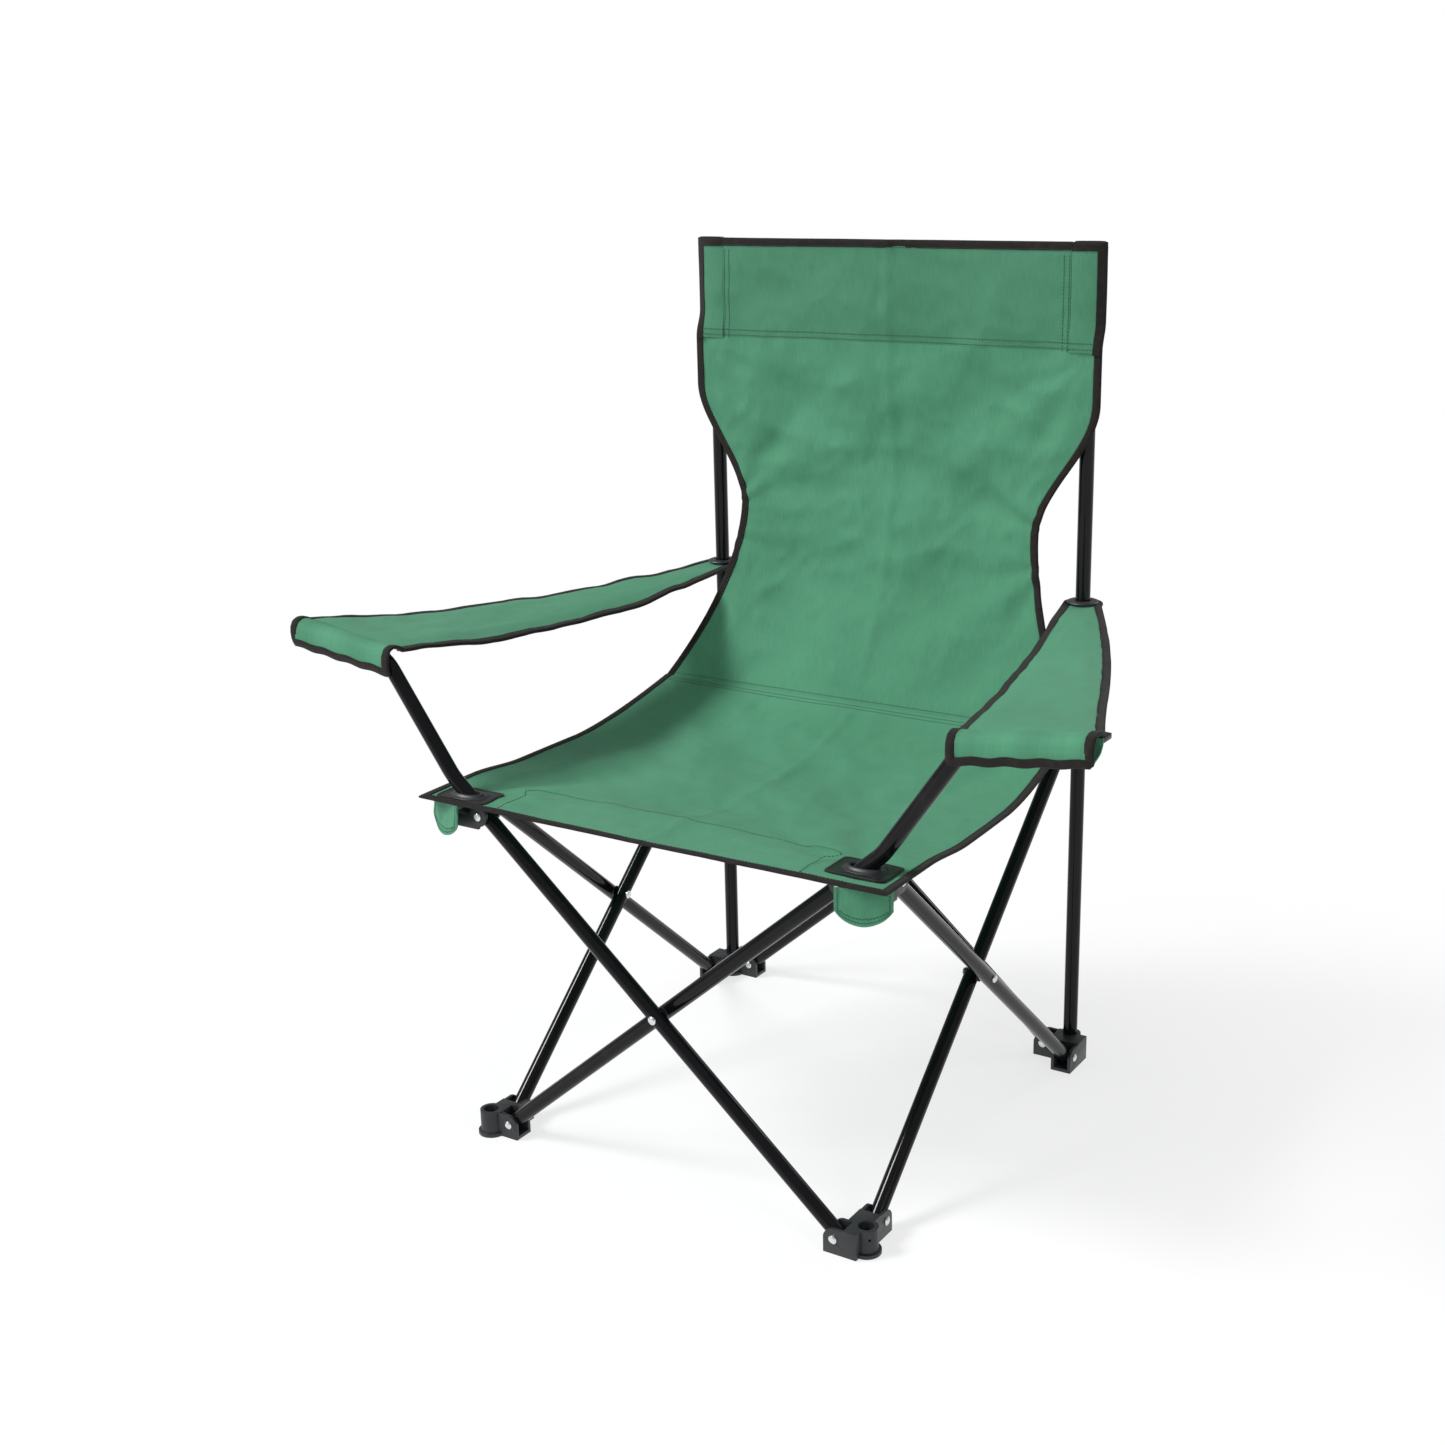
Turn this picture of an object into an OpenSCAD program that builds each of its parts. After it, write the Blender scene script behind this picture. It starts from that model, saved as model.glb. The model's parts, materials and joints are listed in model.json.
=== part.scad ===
// Folding camp chair: steel tube frame of four scissor pairs with a slung cloth seat and back.
// Origin on the floor under the middle of the chair, front towards -Y, up is +Z, millimetres.

/* [Frame] */
// Distance between the left and right corner sockets
hub_w = 466; // [400:1:520]
// Distance between the front and rear corner sockets
hub_d = 486; // [420:1:560]
// Height from the lower tube pivots to the upper tube pivots
seat_rise = 360; // [300:1:400]
// Height of the top ends of the rear posts above the floor
post_top = 911; // [850:1:1000]

/* [Tubes] */
// Outside diameter of every frame tube
tube_d = 16; // [13:0.5:19]
// Wall of every frame tube
tube_wall = 1; // [0.8:0.1:1.5]
// Gap between the two tubes of a scissor pair
pair_gap = 1.5; // [1:0.1:3]
// Tube left beyond each end pivot
tube_end = 7; // [6:0.5:9]

/* [Hubs] */
// Reach from a socket to the pivots across the chair
reach_x = 25.5; // [24:0.5:30]
// Reach from a socket to the pivots along the sides of the chair
reach_y = 35.5; // [30:0.5:42]
// Thickness of the fork ears
ear_t = 3.5; // [2.5:0.5:5]
// Radius of the fork ears around the pivot
ear_r = 11; // [9:0.5:12]
// Wall of the sockets around the posts
socket_wall = 4; // [3:0.5:6]
// Height of the lower pivots above the floor
low_pivot = 16; // [15:0.5:20]
// Height of the foot mouldings
foot_h = 28; // [26:1:34]
// Thickness of the foot base
base_t = 4; // [3:0.5:5]
// Floor under the socket bore
socket_floor = 8; // [5:1:12]
// Half the height of the rear sliders
slider_half = 16; // [14:1:20]

/* [Rivets] */
// Diameter of the rivet shanks
rivet_d = 5; // [4:0.5:6]
// Diameter of the rivet heads
head_d = 9; // [8:0.5:11]
// Height of the rivet heads
head_h = 2; // [1.5:0.5:3]
// Diameter of the pins that hold the posts in the feet
pin_d = 3; // [2.5:0.5:4]

/* [Arm supports] */
// Straight tube beyond the seat bracket
arm_lift = 52; // [45:1:60]
// Turn of the first, upward bend in degrees
arm_kick = 14; // [8:1:20]
// Length of the sloping support between its bends
arm_rise = 145; // [120:1:165]
// Slope of the armrest bar in degrees
bar_slope = 7.6; // [0:0.2:15]
// Length of the armrest bar from the second bend's corner
bar_len = 114; // [95:1:125]
// Centre-line radius of the first bend
kick_r = 60; // [50:1:80]
// Centre-line radius of the second bend
knee_r = 40; // [32:1:50]

/* [Cloth] */
// Thickness of the seat and back cloth solids
cloth_t = 2.5; // [2:0.1:3.5]
// How far the seat cloth reaches past the corner sockets at the front
seat_side = 40; // [17:1:60]
// Narrowing of each side of the seat at the seam with the back
seat_taper = 15; // [0:1:30]
// Distance from the front sockets to the front edge of the seat
seat_overhang = 34; // [28:1:45]
// Distance from the front sockets back to the first fold line of the seat
hem_depth = 38; // [34:1:50]
// Distance from the rear sockets forward to the seam of seat and back
seam_inset = 90; // [75:1:110]
// Length of the rear leaf of the seat
rear_leaf = 96; // [85:1:120]
// Height of the seam above the seat's front edge
seam_lift = 26; // [15:1:40]
// Dip of the seat behind its front edge
seat_dip = 6; // [0:1:10]
// How far the back cloth draws in from the rear posts at the waist
waist_inset = 45; // [30:1:63]
// Height of the middle of the waist above the seam
waist_lift = 200; // [180:1:230]
// Height of the head panel
head_h_panel = 109; // [90:1:130]
// Depth of the head pockets from front layer to rear layer
pocket_depth = 28; // [26:1:32]
// Width of each head pocket
pocket_w = 36.6; // [34:0.2:42]
// Thickness of the armrest cloth
arm_t = 6; // [4:0.5:8]
// Half the width of the armrest at the post
arm_rear_half = 22; // [20:1:28]
// Distance from the post to the widest turn of the armrest's outer edge
arm_turn = 86; // [70:1:110]

/* [Trim] */
// Outer radius of the armrest ring on the post
ring_r = 17.5; // [15:0.5:19]
// Height of the armrest ring
ring_h = 9; // [7:0.5:12]
// Height of the armrest rings above the seat brackets
ring_lift = 163; // [150:1:180]
// Width of the corner patches across the chair
patch_w = 64; // [55:1:70]
// Depth of the corner patches from front to rear
patch_d = 44; // [38:1:50]
// Width of the corner tabs
tab_w = 54; // [44:1:60]
// Drop of the corner tabs below the seat
tab_drop = 36; // [30:1:45]
// Width of the rear seat straps
strap_w = 22; // [18:1:28]

/* [Clearances] */
// Side clearance of a tube in its fork
fork_gap = 0.3; // [0.2:0.05:0.5]
// Radial clearance of a rivet in a tube or ear
pin_gap = 0.05; // [0.03:0.01:0.1]
// Radial clearance of the sliders and rings on the posts
slide_gap = 0.3; // [0.2:0.05:0.5]
// Radial clearance of a post in its socket
socket_gap = 0.1; // [0.05:0.05:0.2]
// Clearance between cloth solids and what they lie next to
cloth_gap = 0.4; // [0.3:0.1:0.8]

/* [Hidden] */
$fn = 64;
big = 400;

// Scissor geometry: each pair has its own span. The four fold together exactly when the spans are equal.
tube_r = tube_d / 2;
bore_r = tube_r - tube_wall;
bend_thin = 0.05;
bend_lap = 0.5;
pair_off = tube_r + pair_gap / 2;
span = hub_w - 2 * reach_x;
side_span = hub_d - 2 * reach_y;
pitch = sqrt(span * span + seat_rise * seat_rise);
slope = atan(seat_rise / span);
side_pitch = sqrt(side_span * side_span + seat_rise * seat_rise);
side_slope = atan(seat_rise / side_span);
high_pivot = low_pivot + seat_rise;

// Forks and sockets
fork_in = tube_r + fork_gap;
fork_out = fork_in + ear_t;
end_r = sqrt(tube_end * tube_end + tube_r * tube_r) + fork_gap;
root_x = reach_x - end_r;
root_y = reach_y - end_r;
socket_r = tube_r + socket_gap;
barrel_r = socket_r + socket_wall;
slide_r = tube_r + slide_gap;
rivet_r = rivet_d / 2;
hole_r = rivet_r + pin_gap;
washer_t = pair_gap - 0.1;
washer_r = tube_r - 1;

// The seat's front edge and the rear rivet heads are equally far from the origin.
shift_y = (seat_overhang - fork_out - pair_off - head_h) / 2;
front_y = shift_y - hub_d / 2;
rear_y = shift_y + hub_d / 2;

// Seat cloth, by its underside
seat_half = hub_w / 2 + seat_side;
seat_z = high_pivot + ear_r + 2.5;
seat_front_y = front_y - seat_overhang;
fold_y = front_y + hem_depth;
flat_y = front_y + reach_y + 22;
seam_y = rear_y - seam_inset;
leaf_y = seam_y - rear_leaf;
seam_z = seat_z + seam_lift;
flat_span = 80;
rise_y = seam_y - 170;

// Back cloth
waist_half = hub_w / 2 - waist_inset;
back_y = rear_y - tube_r - 7;
shoulder_z = seam_z + waist_lift + 140;
settle_z = seam_z + 309;
head_top = post_top + 5.5;
head_z = head_top + cloth_t - head_h_panel;
shoulder_half = hub_w / 2 + tube_r + 10;
pocket_in = shoulder_half - pocket_w;
hip_half = seat_half - seat_taper;

// Armrests, on the right of the chair
ring_z = high_pivot + ring_lift;
arm_z = ring_z;
bar_x0 = hub_w / 2 - reach_x + (arm_lift * cos(slope) + arm_rise * cos(slope + arm_kick));
bar_z0 = high_pivot + arm_lift * sin(slope) + arm_rise * sin(slope + arm_kick);
bar_end_x = bar_x0 + bar_len * cos(bar_slope);
sleeve_r = tube_r + 3;

// Eyelets, where the arm tubes pass through the seat
eyelet_z = seat_z + cloth_t + 1.5;
eyelet_x = hub_w / 2 - reach_x + (eyelet_z - high_pivot) / tan(slope);
slot_x = tube_r / sin(slope) - tube_r + cloth_t / tan(slope);

function ease(t) = t * t * (3 - 2 * t);
function clamp01(t) = max(0, min(1, t));
function seat_under(y) =
    y < rise_y
    ? seat_z - seat_dip * ease(clamp01((y - flat_y) / flat_span))
    : seat_z - seat_dip + (seam_lift + seat_dip) * pow((y - rise_y) / (seam_y - rise_y), 1.6);
function seat_width(y) = seat_half - seat_taper * pow((y - seat_front_y) / (seam_y - seat_front_y), 3);
function back_front(z) = back_y - (back_y - seam_y) * pow(1 - clamp01((z - seam_z) / (settle_z - seam_z)), 2.2);
function back_width(z) =
    z < seam_z + waist_lift
    ? waist_half + (hip_half - waist_half) * pow((seam_z + waist_lift - z) / waist_lift, 1.7)
    : waist_half + (shoulder_half - waist_half) * ease(clamp01((z - seam_z - waist_lift) / 140));
function steps(a, b, n) = [for (i = [0 : n]) a + (b - a) * i / n];
function backwards(list) = [for (i = [len(list) - 1 : -1 : 0]) list[i]];

// Places a piece at a corner: side -1 left or 1 right, row -1 front or 1 rear; local +X and +Y point inwards.
module at_corner(side, row, z) {
    translate([side * hub_w / 2, row < 0 ? front_y : rear_y, z])
        mirror([side > 0 ? 1 : 0, 0, 0])
            mirror([0, row > 0 ? 1 : 0, 0])
                children();
}

// Swaps local X and Y, so that one fork serves both sides of a hub.
module swapped() {
    mirror([1, -1, 0]) children();
}

module rod_y(r, h) {
    rotate([90, 0, 0]) cylinder(r = r, h = h, center = true);
}

// Extrudes a profile drawn in Y and Z across the chair.
module across(points, x0, w) {
    translate([x0, 0, 0]) rotate([90, 0, 90]) linear_extrude(w) polygon(points);
}

// ---- Hubs ----

// Two ears at a pivot a given reach away, standing on the floor of a foot.
module foot_fork(reach, root, off) {
    translate([0, off - fork_out, 0]) cube([root, 2 * fork_out, foot_h]);
    translate([0, off - fork_out, 0]) cube([reach + ear_r, 2 * fork_out, base_t]);
    for (s = [-1, 1])
        translate([0, off + s * (fork_in + ear_t / 2) - ear_t / 2, 0]) {
            cube([reach + ear_r, ear_t, low_pivot]);
            cube([reach, ear_t, low_pivot + ear_r]);
            translate([reach, ear_t / 2, low_pivot]) rod_y(ear_r, ear_t);
        }
}

// Two ears level with the pivot, for the sliders.
module level_fork(reach, root, off) {
    translate([0, off - fork_out, -slider_half]) cube([root, 2 * fork_out, 2 * slider_half]);
    for (s = [-1, 1])
        translate([0, off + s * (fork_in + ear_t / 2), 0]) {
            translate([0, -ear_t / 2, -ear_r]) cube([reach, ear_t, 2 * ear_r]);
            translate([reach, 0, 0]) rod_y(ear_r, ear_t);
        }
}

// The room that the end of the cross tube turns in.
module tube_room(reach, root, off, z0) {
    translate([root, off - fork_in, z0]) cube([reach + ear_r + 1 - root, 2 * fork_in, big]);
}

module pin_hole(r, z) {
    translate([0, 0, z]) rotate([0, -90, 45]) cylinder(r = r, h = barrel_r + 5);
}

module foot(off_x, off_y) {
    difference() {
        union() {
            difference() {
                union() {
                    cylinder(r = barrel_r, h = foot_h);
                    cylinder(r = barrel_r + 3, h = base_t);
                    swapped() foot_fork(reach_y, root_y, off_y);
                }
                tube_room(reach_x, root_x, off_x, base_t);
            }
            foot_fork(reach_x, root_x, off_x);
        }
        translate([0, 0, socket_floor]) cylinder(r = socket_r, h = foot_h);
        translate([reach_x, off_x, low_pivot]) rod_y(hole_r, 3 * fork_out);
        swapped() translate([reach_y, off_y, low_pivot]) rod_y(hole_r, 3 * fork_out);
        pin_hole(pin_d / 2 + pin_gap, foot_h - 9);
    }
}

module slider(off_x, off_y) {
    difference() {
        union() {
            difference() {
                union() {
                    translate([0, 0, -slider_half]) cylinder(r = barrel_r, h = 2 * slider_half);
                    swapped() level_fork(reach_y, root_y, off_y);
                }
                tube_room(reach_x, root_x, off_x, -slider_half - 1);
            }
            level_fork(reach_x, root_x, off_x);
            translate([-barrel_r - strap_w, -strap_w / 2, slider_half - base_t])
                cube([barrel_r + strap_w, strap_w, base_t]);
        }
        translate([0, 0, -slider_half - 1]) cylinder(r = slide_r, h = 2 * slider_half + 2);
        translate([reach_x, off_x, 0]) rod_y(hole_r, 3 * fork_out);
        swapped() translate([reach_y, off_y, 0]) rod_y(hole_r, 3 * fork_out);
    }
}

// Open bracket that the arm tube passes through, with a fork for the side tube.
module seat_bracket(off_x, off_y) {
    web_top = -2;
    web_bottom = -14;
    web_x = 10;
    difference() {
        union() {
            for (s = [-1, 1])
                translate([0, off_x + s * (fork_in + ear_t / 2), 0]) {
                    translate([0, -ear_t / 2, web_bottom]) cube([reach_x, ear_t, -web_bottom]);
                    translate([reach_x, 0, 0]) rod_y(ear_r, ear_t);
                }
            translate([-web_x, off_x - fork_out, web_bottom])
                cube([2 * web_x, fork_out + root_y - off_x, web_top - web_bottom]);
            translate([off_y - fork_out, 0, web_bottom]) cube([2 * fork_out, root_y, 3 - web_bottom]);
            swapped() for (s = [-1, 1])
                translate([0, off_y + s * (fork_in + ear_t / 2), 0]) {
                    translate([root_y - 2, -ear_t / 2, -ear_r]) cube([reach_y - root_y + 2, ear_t, 2 * ear_r]);
                    translate([reach_y, 0, 0]) rod_y(ear_r, ear_t);
                }
        }
        translate([reach_x, off_x, 0]) rod_y(hole_r, 3 * fork_out);
        swapped() translate([reach_y, off_y, 0]) rod_y(hole_r, 3 * fork_out);
    }
}

// Rivet along Y with a domed head at each end; grip is the thickness that it holds.
module rivet(grip) {
    rod_y(rivet_r, grip);
    for (s = [-1, 1])
        translate([0, s * grip / 2, 0])
            rotate([-90 * s, 0, 0]) {
                cylinder(r = head_d / 2, h = head_h / 2);
                translate([0, 0, head_h / 2]) cylinder(r1 = head_d / 2, r2 = head_d / 3, h = head_h / 2);
            }
}

module fork_rivets(off_x, off_y, z) {
    translate([reach_x, off_x, z]) rivet(2 * fork_out);
    swapped() translate([reach_y, off_y, z]) rivet(2 * fork_out);
}

// Pin from the outer corner of a foot through its wall and the near wall of the post.
module post_pin() {
    translate([0, 0, foot_h - 9])
        rotate([0, -90, 45])
            translate([0, 0, bore_r - 2]) {
                cylinder(r = pin_d / 2, h = barrel_r - bore_r + 2);
                translate([0, 0, barrel_r - bore_r + 2]) cylinder(r = pin_d, h = 1);
            }
}

// ---- Tubes ----

module pivot_hole() {
    rod_y(hole_r, tube_d + 2);
}

// A straight scissor tube from its lower pivot towards +X.
module straight_tube(pitch) {
    difference() {
        translate([-tube_end, 0, 0]) rotate([0, 90, 0]) cylinder(r = tube_r, h = pitch + 2 * tube_end);
        translate([-tube_end - 1, 0, 0]) rotate([0, 90, 0]) cylinder(r = bore_r, h = pitch + 2 * tube_end + 2);
        for (t = [0, 0.5, 1]) translate([t * pitch, 0, 0]) pivot_hole();
    }
}

// Bent tube from the origin, heading +X, that turns up by turn degrees; negative turns down.
// Its wall is a little thinner than the straight tube's, as a drawn bend's is.
module bend(radius, turn) {
    mirror([0, 0, turn < 0 ? 1 : 0])
        translate([0, 0, radius])
            rotate([0, 90, 0])
                rotate([90, 0, 0])
                    rotate_extrude(angle = abs(turn))
                        translate([radius, 0])
                            difference() {
                                circle(r = tube_r - bend_thin);
                                circle(r = bore_r + bend_thin);
                            }
}

// Moves what follows to the far end of a bend.
module after_bend(radius, turn) {
    side = turn < 0 ? -1 : 1;
    translate([0, 0, side * radius]) rotate([0, -turn, 0]) translate([0, 0, -side * radius]) children();
}

// Moves what follows to the start of the armrest bar, past both bends.
module at_bar() {
    kick_trim = kick_r * tan(arm_kick / 2);
    knee_turn = slope + arm_kick - bar_slope;
    knee_trim = knee_r * tan(knee_turn / 2);
    translate([pitch + arm_lift - kick_trim, 0, 0])
        after_bend(kick_r, arm_kick)
            translate([arm_rise - kick_trim - knee_trim, 0, 0])
                after_bend(knee_r, -knee_turn)
                    children();
}

// A straight length of tube along +X.
module run(x0, x1) {
    translate([x0, 0, 0])
        rotate([0, 90, 0])
            difference() {
                cylinder(r = tube_r, h = x1 - x0);
                translate([0, 0, -1]) cylinder(r = bore_r, h = x1 - x0 + 2);
            }
}

// Scissor tube that goes on past its upper pivot, bends outwards and ends as the armrest bar.
module arm_tube() {
    kick_trim = kick_r * tan(arm_kick / 2);
    knee_turn = slope + arm_kick - bar_slope;
    knee_trim = knee_r * tan(knee_turn / 2);
    rise = arm_rise - kick_trim - knee_trim;
    difference() {
        union() {
            run(-tube_end, pitch + arm_lift - kick_trim + bend_lap);
            translate([pitch + arm_lift - kick_trim, 0, 0]) {
                bend(kick_r, arm_kick);
                after_bend(kick_r, arm_kick) {
                    run(-bend_lap, rise + bend_lap);
                    translate([rise, 0, 0]) bend(knee_r, -knee_turn);
                }
            }
            at_bar() run(-bend_lap, bar_len - knee_trim);
        }
        for (t = [0, 0.5, 1]) translate([t * pitch, 0, 0]) pivot_hole();
    }
}

// Places a tube of a front or rear pair: foot side, row, and offset towards the inside.
module across_tube(side, row, off) {
    translate([side * (hub_w / 2 - reach_x), (row < 0 ? front_y + off : rear_y - off), low_pivot])
        mirror([side > 0 ? 1 : 0, 0, 0])
            rotate([0, -slope, 0])
                children();
}

// Places a tube of a side pair: side, foot row, and offset towards the inside.
module along_tube(side, row, off) {
    translate([side * (hub_w / 2 - off), row < 0 ? front_y + reach_y : rear_y - reach_y, low_pivot])
        rotate([0, 0, -90 * row])
            rotate([0, -side_slope, 0])
                children();
}

module pair_rivet() {
    rivet(2 * (pair_off + tube_r + pin_gap));
}

module pair_washer() {
    difference() {
        rod_y(washer_r, washer_t);
        rod_y(hole_r + pin_gap, washer_t + 2);
    }
}

module across_middle(y) {
    translate([0, y, low_pivot + seat_rise / 2]) children();
}

module along_middle(side) {
    translate([side * hub_w / 2, shift_y, low_pivot + seat_rise / 2]) rotate([0, 0, 90]) children();
}

// ---- Posts ----

module post(side) {
    translate([side * hub_w / 2, rear_y, socket_floor])
        difference() {
            cylinder(r = tube_r, h = post_top - socket_floor);
            translate([0, 0, -1]) cylinder(r = bore_r, h = post_top);
            mirror([side > 0 ? 1 : 0, 0, 0])
                mirror([0, 1, 0])
                    translate([0, 0, -socket_floor]) pin_hole(pin_d / 2 + pin_gap, foot_h - 9);
        }
}

module post_cap(side) {
    translate([side * hub_w / 2, rear_y, post_top]) {
        cylinder(r = tube_r + 1.5, h = 4);
        translate([0, 0, -12]) cylinder(r = bore_r - pin_gap, h = 12);
    }
}

// ---- Cloth ----

module seat_outline(y0, y1) {
    ys = steps(y0, y1, 6);
    linear_extrude(2 * big)
        polygon(concat(
            [for (y = ys) [seat_width(y), y]],
            [for (y = backwards(ys)) [-seat_width(y), y]]));
}

module seat_piece(y0, y1) {
    ys = steps(y0, y1, 8);
    intersection() {
        across(concat(
            [for (y = ys) [y, seat_under(y)]],
            [for (y = backwards(ys)) [y, seat_under(y) + cloth_t]]), -big, 2 * big);
        seat_outline(y0, y1);
    }
}

// Long hole with round ends, for a slanting arm tube.
module tube_slot(r, half, z0, h) {
    for (s = [-1, 1]) translate([s * half, 0, z0]) cylinder(r = r, h = h);
    translate([-half, -r, z0]) cube([2 * half, 2 * r, h]);
}

module at_eyelet(side) {
    translate([side * eyelet_x, side < 0 ? front_y - pair_off : front_y + pair_off, 0]) children();
}

module seat_hem_solid() {
    difference() {
        seat_piece(seat_front_y, fold_y);
        for (side = [-1, 1]) at_eyelet(side) tube_slot(tube_r + 1.5, slot_x + 1.5, seat_z - 1, 10);
    }
}

module back_solid() {
    zs = steps(seam_z + cloth_gap, head_top + cloth_t, 24);
    lows = steps(seam_z, head_z, 24);
    intersection() {
        across(concat(
            [for (z = zs) [back_front(z), z]],
            [for (z = backwards(zs)) [back_front(z) + cloth_t, z]]), -big, 2 * big);
        translate([0, big, 0]) rotate([90, 0, 0]) linear_extrude(2 * big)
            polygon(concat(
                [for (z = lows) [back_width(z), z]],
                [[pocket_in - cloth_gap, head_z], [pocket_in - cloth_gap, head_top + cloth_t]],
                [[cloth_gap - pocket_in, head_top + cloth_t], [cloth_gap - pocket_in, head_z]],
                [for (z = backwards(lows)) [-back_width(z), z]]));
    }
}

module head_panel_solid() {
    w = 2 * (pocket_in - cloth_gap);
    front = back_y + cloth_t + cloth_gap;
    translate([-w / 2, back_y + pocket_depth - cloth_t, head_z]) cube([w, cloth_t, head_h_panel]);
    translate([-w / 2, front, head_top]) cube([w, back_y + pocket_depth - front, cloth_t]);
}

module head_pocket(side) {
    mirror([side < 0 ? 1 : 0, 0, 0])
        difference() {
            translate([pocket_in, back_y, head_z + cloth_gap])
                cube([pocket_w, pocket_depth, head_h_panel - cloth_gap]);
            translate([pocket_in + cloth_t, back_y + cloth_t, head_z - 1])
                cube([pocket_w - 2 * cloth_t, pocket_depth - 2 * cloth_t, head_top - head_z + 1]);
        }
}

module seat_strap(side) {
    strap_t = 1.8;
    y1 = rear_y + strap_w / 2;
    y0 = seam_y + 6;
    z1 = high_pivot + slider_half + cloth_gap;
    z0 = seam_z - strap_t - 1;
    yk = rear_y - strap_w / 2;
    x0 = hub_w / 2 + barrel_r;
    mirror([side < 0 ? 1 : 0, 0, 0])
        across([[y1, z1], [yk, z1], [y0, z0], [y0, z0 + strap_t], [yk, z1 + strap_t], [y1, z1 + strap_t]],
            x0, strap_w);
}

module corner_patch(side) {
    patch_t = 1.5;
    at_eyelet(side)
        difference() {
            translate([-patch_w / 2, -patch_d / 2, seat_z + cloth_t + cloth_gap])
                cube([patch_w, patch_d, patch_t]);
            tube_slot(tube_r + 1.5, slot_x + 1.5, seat_z, 20);
        }
}

// Oval ring that grips the slanting arm tube where it leaves the seat.
module eyelet(side) {
    ring_t = 3;
    z0 = seat_z + cloth_t + cloth_gap + 1.5 + cloth_gap;
    at_eyelet(side)
        difference() {
            tube_slot(tube_r + 5, slot_x + 1, z0, ring_t);
            tube_slot(tube_r + 0.8, slot_x + 1.6, z0 - 1, ring_t + 2);
        }
}

// Flap with a round lower edge that hangs diagonally outside the bracket.
module corner_tab(side) {
    tab_t = 2;
    mirror([side < 0 ? 1 : 0, 0, 0])
        translate([hub_w / 2 + 18, front_y - 17, seat_z - cloth_gap])
            rotate([0, 0, 45])
                rotate([90, 0, 0])
                    linear_extrude(tab_t)
                        intersection() {
                            translate([-tab_w / 2, -tab_drop]) square([tab_w, tab_drop]);
                            translate([0, tab_w * 0.6 - tab_drop]) circle(r = tab_w * 0.6);
                        }
}

// ---- Armrests ----

module post_ring(side) {
    translate([side * hub_w / 2, rear_y, ring_z - ring_h / 2])
        difference() {
            cylinder(r = ring_r, h = ring_h);
            translate([0, 0, -1]) cylinder(r = slide_r, h = ring_h + 2);
        }
}

module armrest(side) {
    front = (side < 0 ? front_y - pair_off : front_y + pair_off) + sleeve_r + cloth_gap;
    rear_x = hub_w / 2;
    mirror([side < 0 ? 1 : 0, 0, 0])
        translate([0, 0, arm_z - arm_t / 2])
            difference() {
                union() {
                    linear_extrude(arm_t)
                        polygon([
                            [rear_x - arm_rear_half, rear_y], [bar_x0 - 14, front],
                            [bar_end_x + 4, front], [rear_x + 0.8 * arm_turn, rear_y - arm_turn],
                            [rear_x + arm_rear_half, rear_y]]);
                    translate([rear_x, rear_y, 0]) cylinder(r = arm_rear_half, h = arm_t);
                }
                translate([rear_x, rear_y, -1]) cylinder(r = ring_r + cloth_gap, h = arm_t + 2);
            }
}

// Cloth tunnel at the front edge of an armrest, round the armrest bar.
module arm_sleeve() {
    knee_trim = knee_r * tan((slope + arm_kick - bar_slope) / 2);
    at_bar()
        rotate([0, 90, 0])
            difference() {
                cylinder(r = sleeve_r, h = bar_len - knee_trim + 4);
                translate([0, 0, -1]) cylinder(r = tube_r + cloth_gap, h = bar_len - knee_trim + 3);
            }
}

module arm_cap() {
    knee_trim = knee_r * tan((slope + arm_kick - bar_slope) / 2);
    plug = 14;
    at_bar()
        translate([bar_len - knee_trim, 0, 0])
            rotate([0, 90, 0]) {
                cylinder(r = tube_r, h = 1.5);
                translate([0, 0, -plug]) cylinder(r = bore_r - pin_gap, h = plug);
            }
}

// ---- Nodes ----

plastic = "#26282a";
steel_black = "#101113";
rivet_steel = "#c9ccd0";
cloth_green = "#4f9a72";
webbing = "#2b2524";

module foot_node(side, row, off_x, off_y) {
    color(plastic) at_corner(side, row, 0) foot(off_x, off_y);
}
module foot_rivets_node(side, row, off_x, off_y) {
    color(rivet_steel) at_corner(side, row, 0) {
        fork_rivets(off_x, off_y, low_pivot);
        if (row > 0) post_pin();
    }
}
module slider_node(side, off_x, off_y) {
    color(plastic) at_corner(side, 1, high_pivot) slider(off_x, off_y);
}
module slider_rivets_node(side, off_x, off_y) {
    color(rivet_steel) at_corner(side, 1, high_pivot) fork_rivets(off_x, off_y, 0);
}
module bracket_node(side, off_x, off_y) {
    color(plastic) at_corner(side, -1, high_pivot) seat_bracket(off_x, off_y);
}
module bracket_rivets_node(side, off_x, off_y) {
    color(rivet_steel) at_corner(side, -1, high_pivot) fork_rivets(off_x, off_y, 0);
}

foot_node(-1, 1, -pair_off, -pair_off);  // foot_rear_left
foot_node(1, 1, pair_off, -pair_off);  // foot_rear_right
foot_node(-1, -1, pair_off, pair_off);  // foot_front_left
foot_node(1, -1, -pair_off, pair_off);  // foot_front_right
foot_rivets_node(-1, 1, -pair_off, -pair_off);  // foot_rear_left_rivets
foot_rivets_node(1, 1, pair_off, -pair_off);  // foot_rear_right_rivets
foot_rivets_node(-1, -1, pair_off, pair_off);  // foot_front_left_rivets
foot_rivets_node(1, -1, -pair_off, pair_off);  // foot_front_right_rivets
color(steel_black) post(-1);  // post_left
color(steel_black) post(1);  // post_right
color(plastic) post_cap(-1);  // post_cap_left
color(plastic) post_cap(1);  // post_cap_right
slider_node(-1, pair_off, pair_off);  // slider_left
slider_node(1, -pair_off, pair_off);  // slider_right
slider_rivets_node(-1, pair_off, pair_off);  // slider_left_rivets
slider_rivets_node(1, -pair_off, pair_off);  // slider_right_rivets
bracket_node(-1, -pair_off, -pair_off);  // seat_bracket_left
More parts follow.
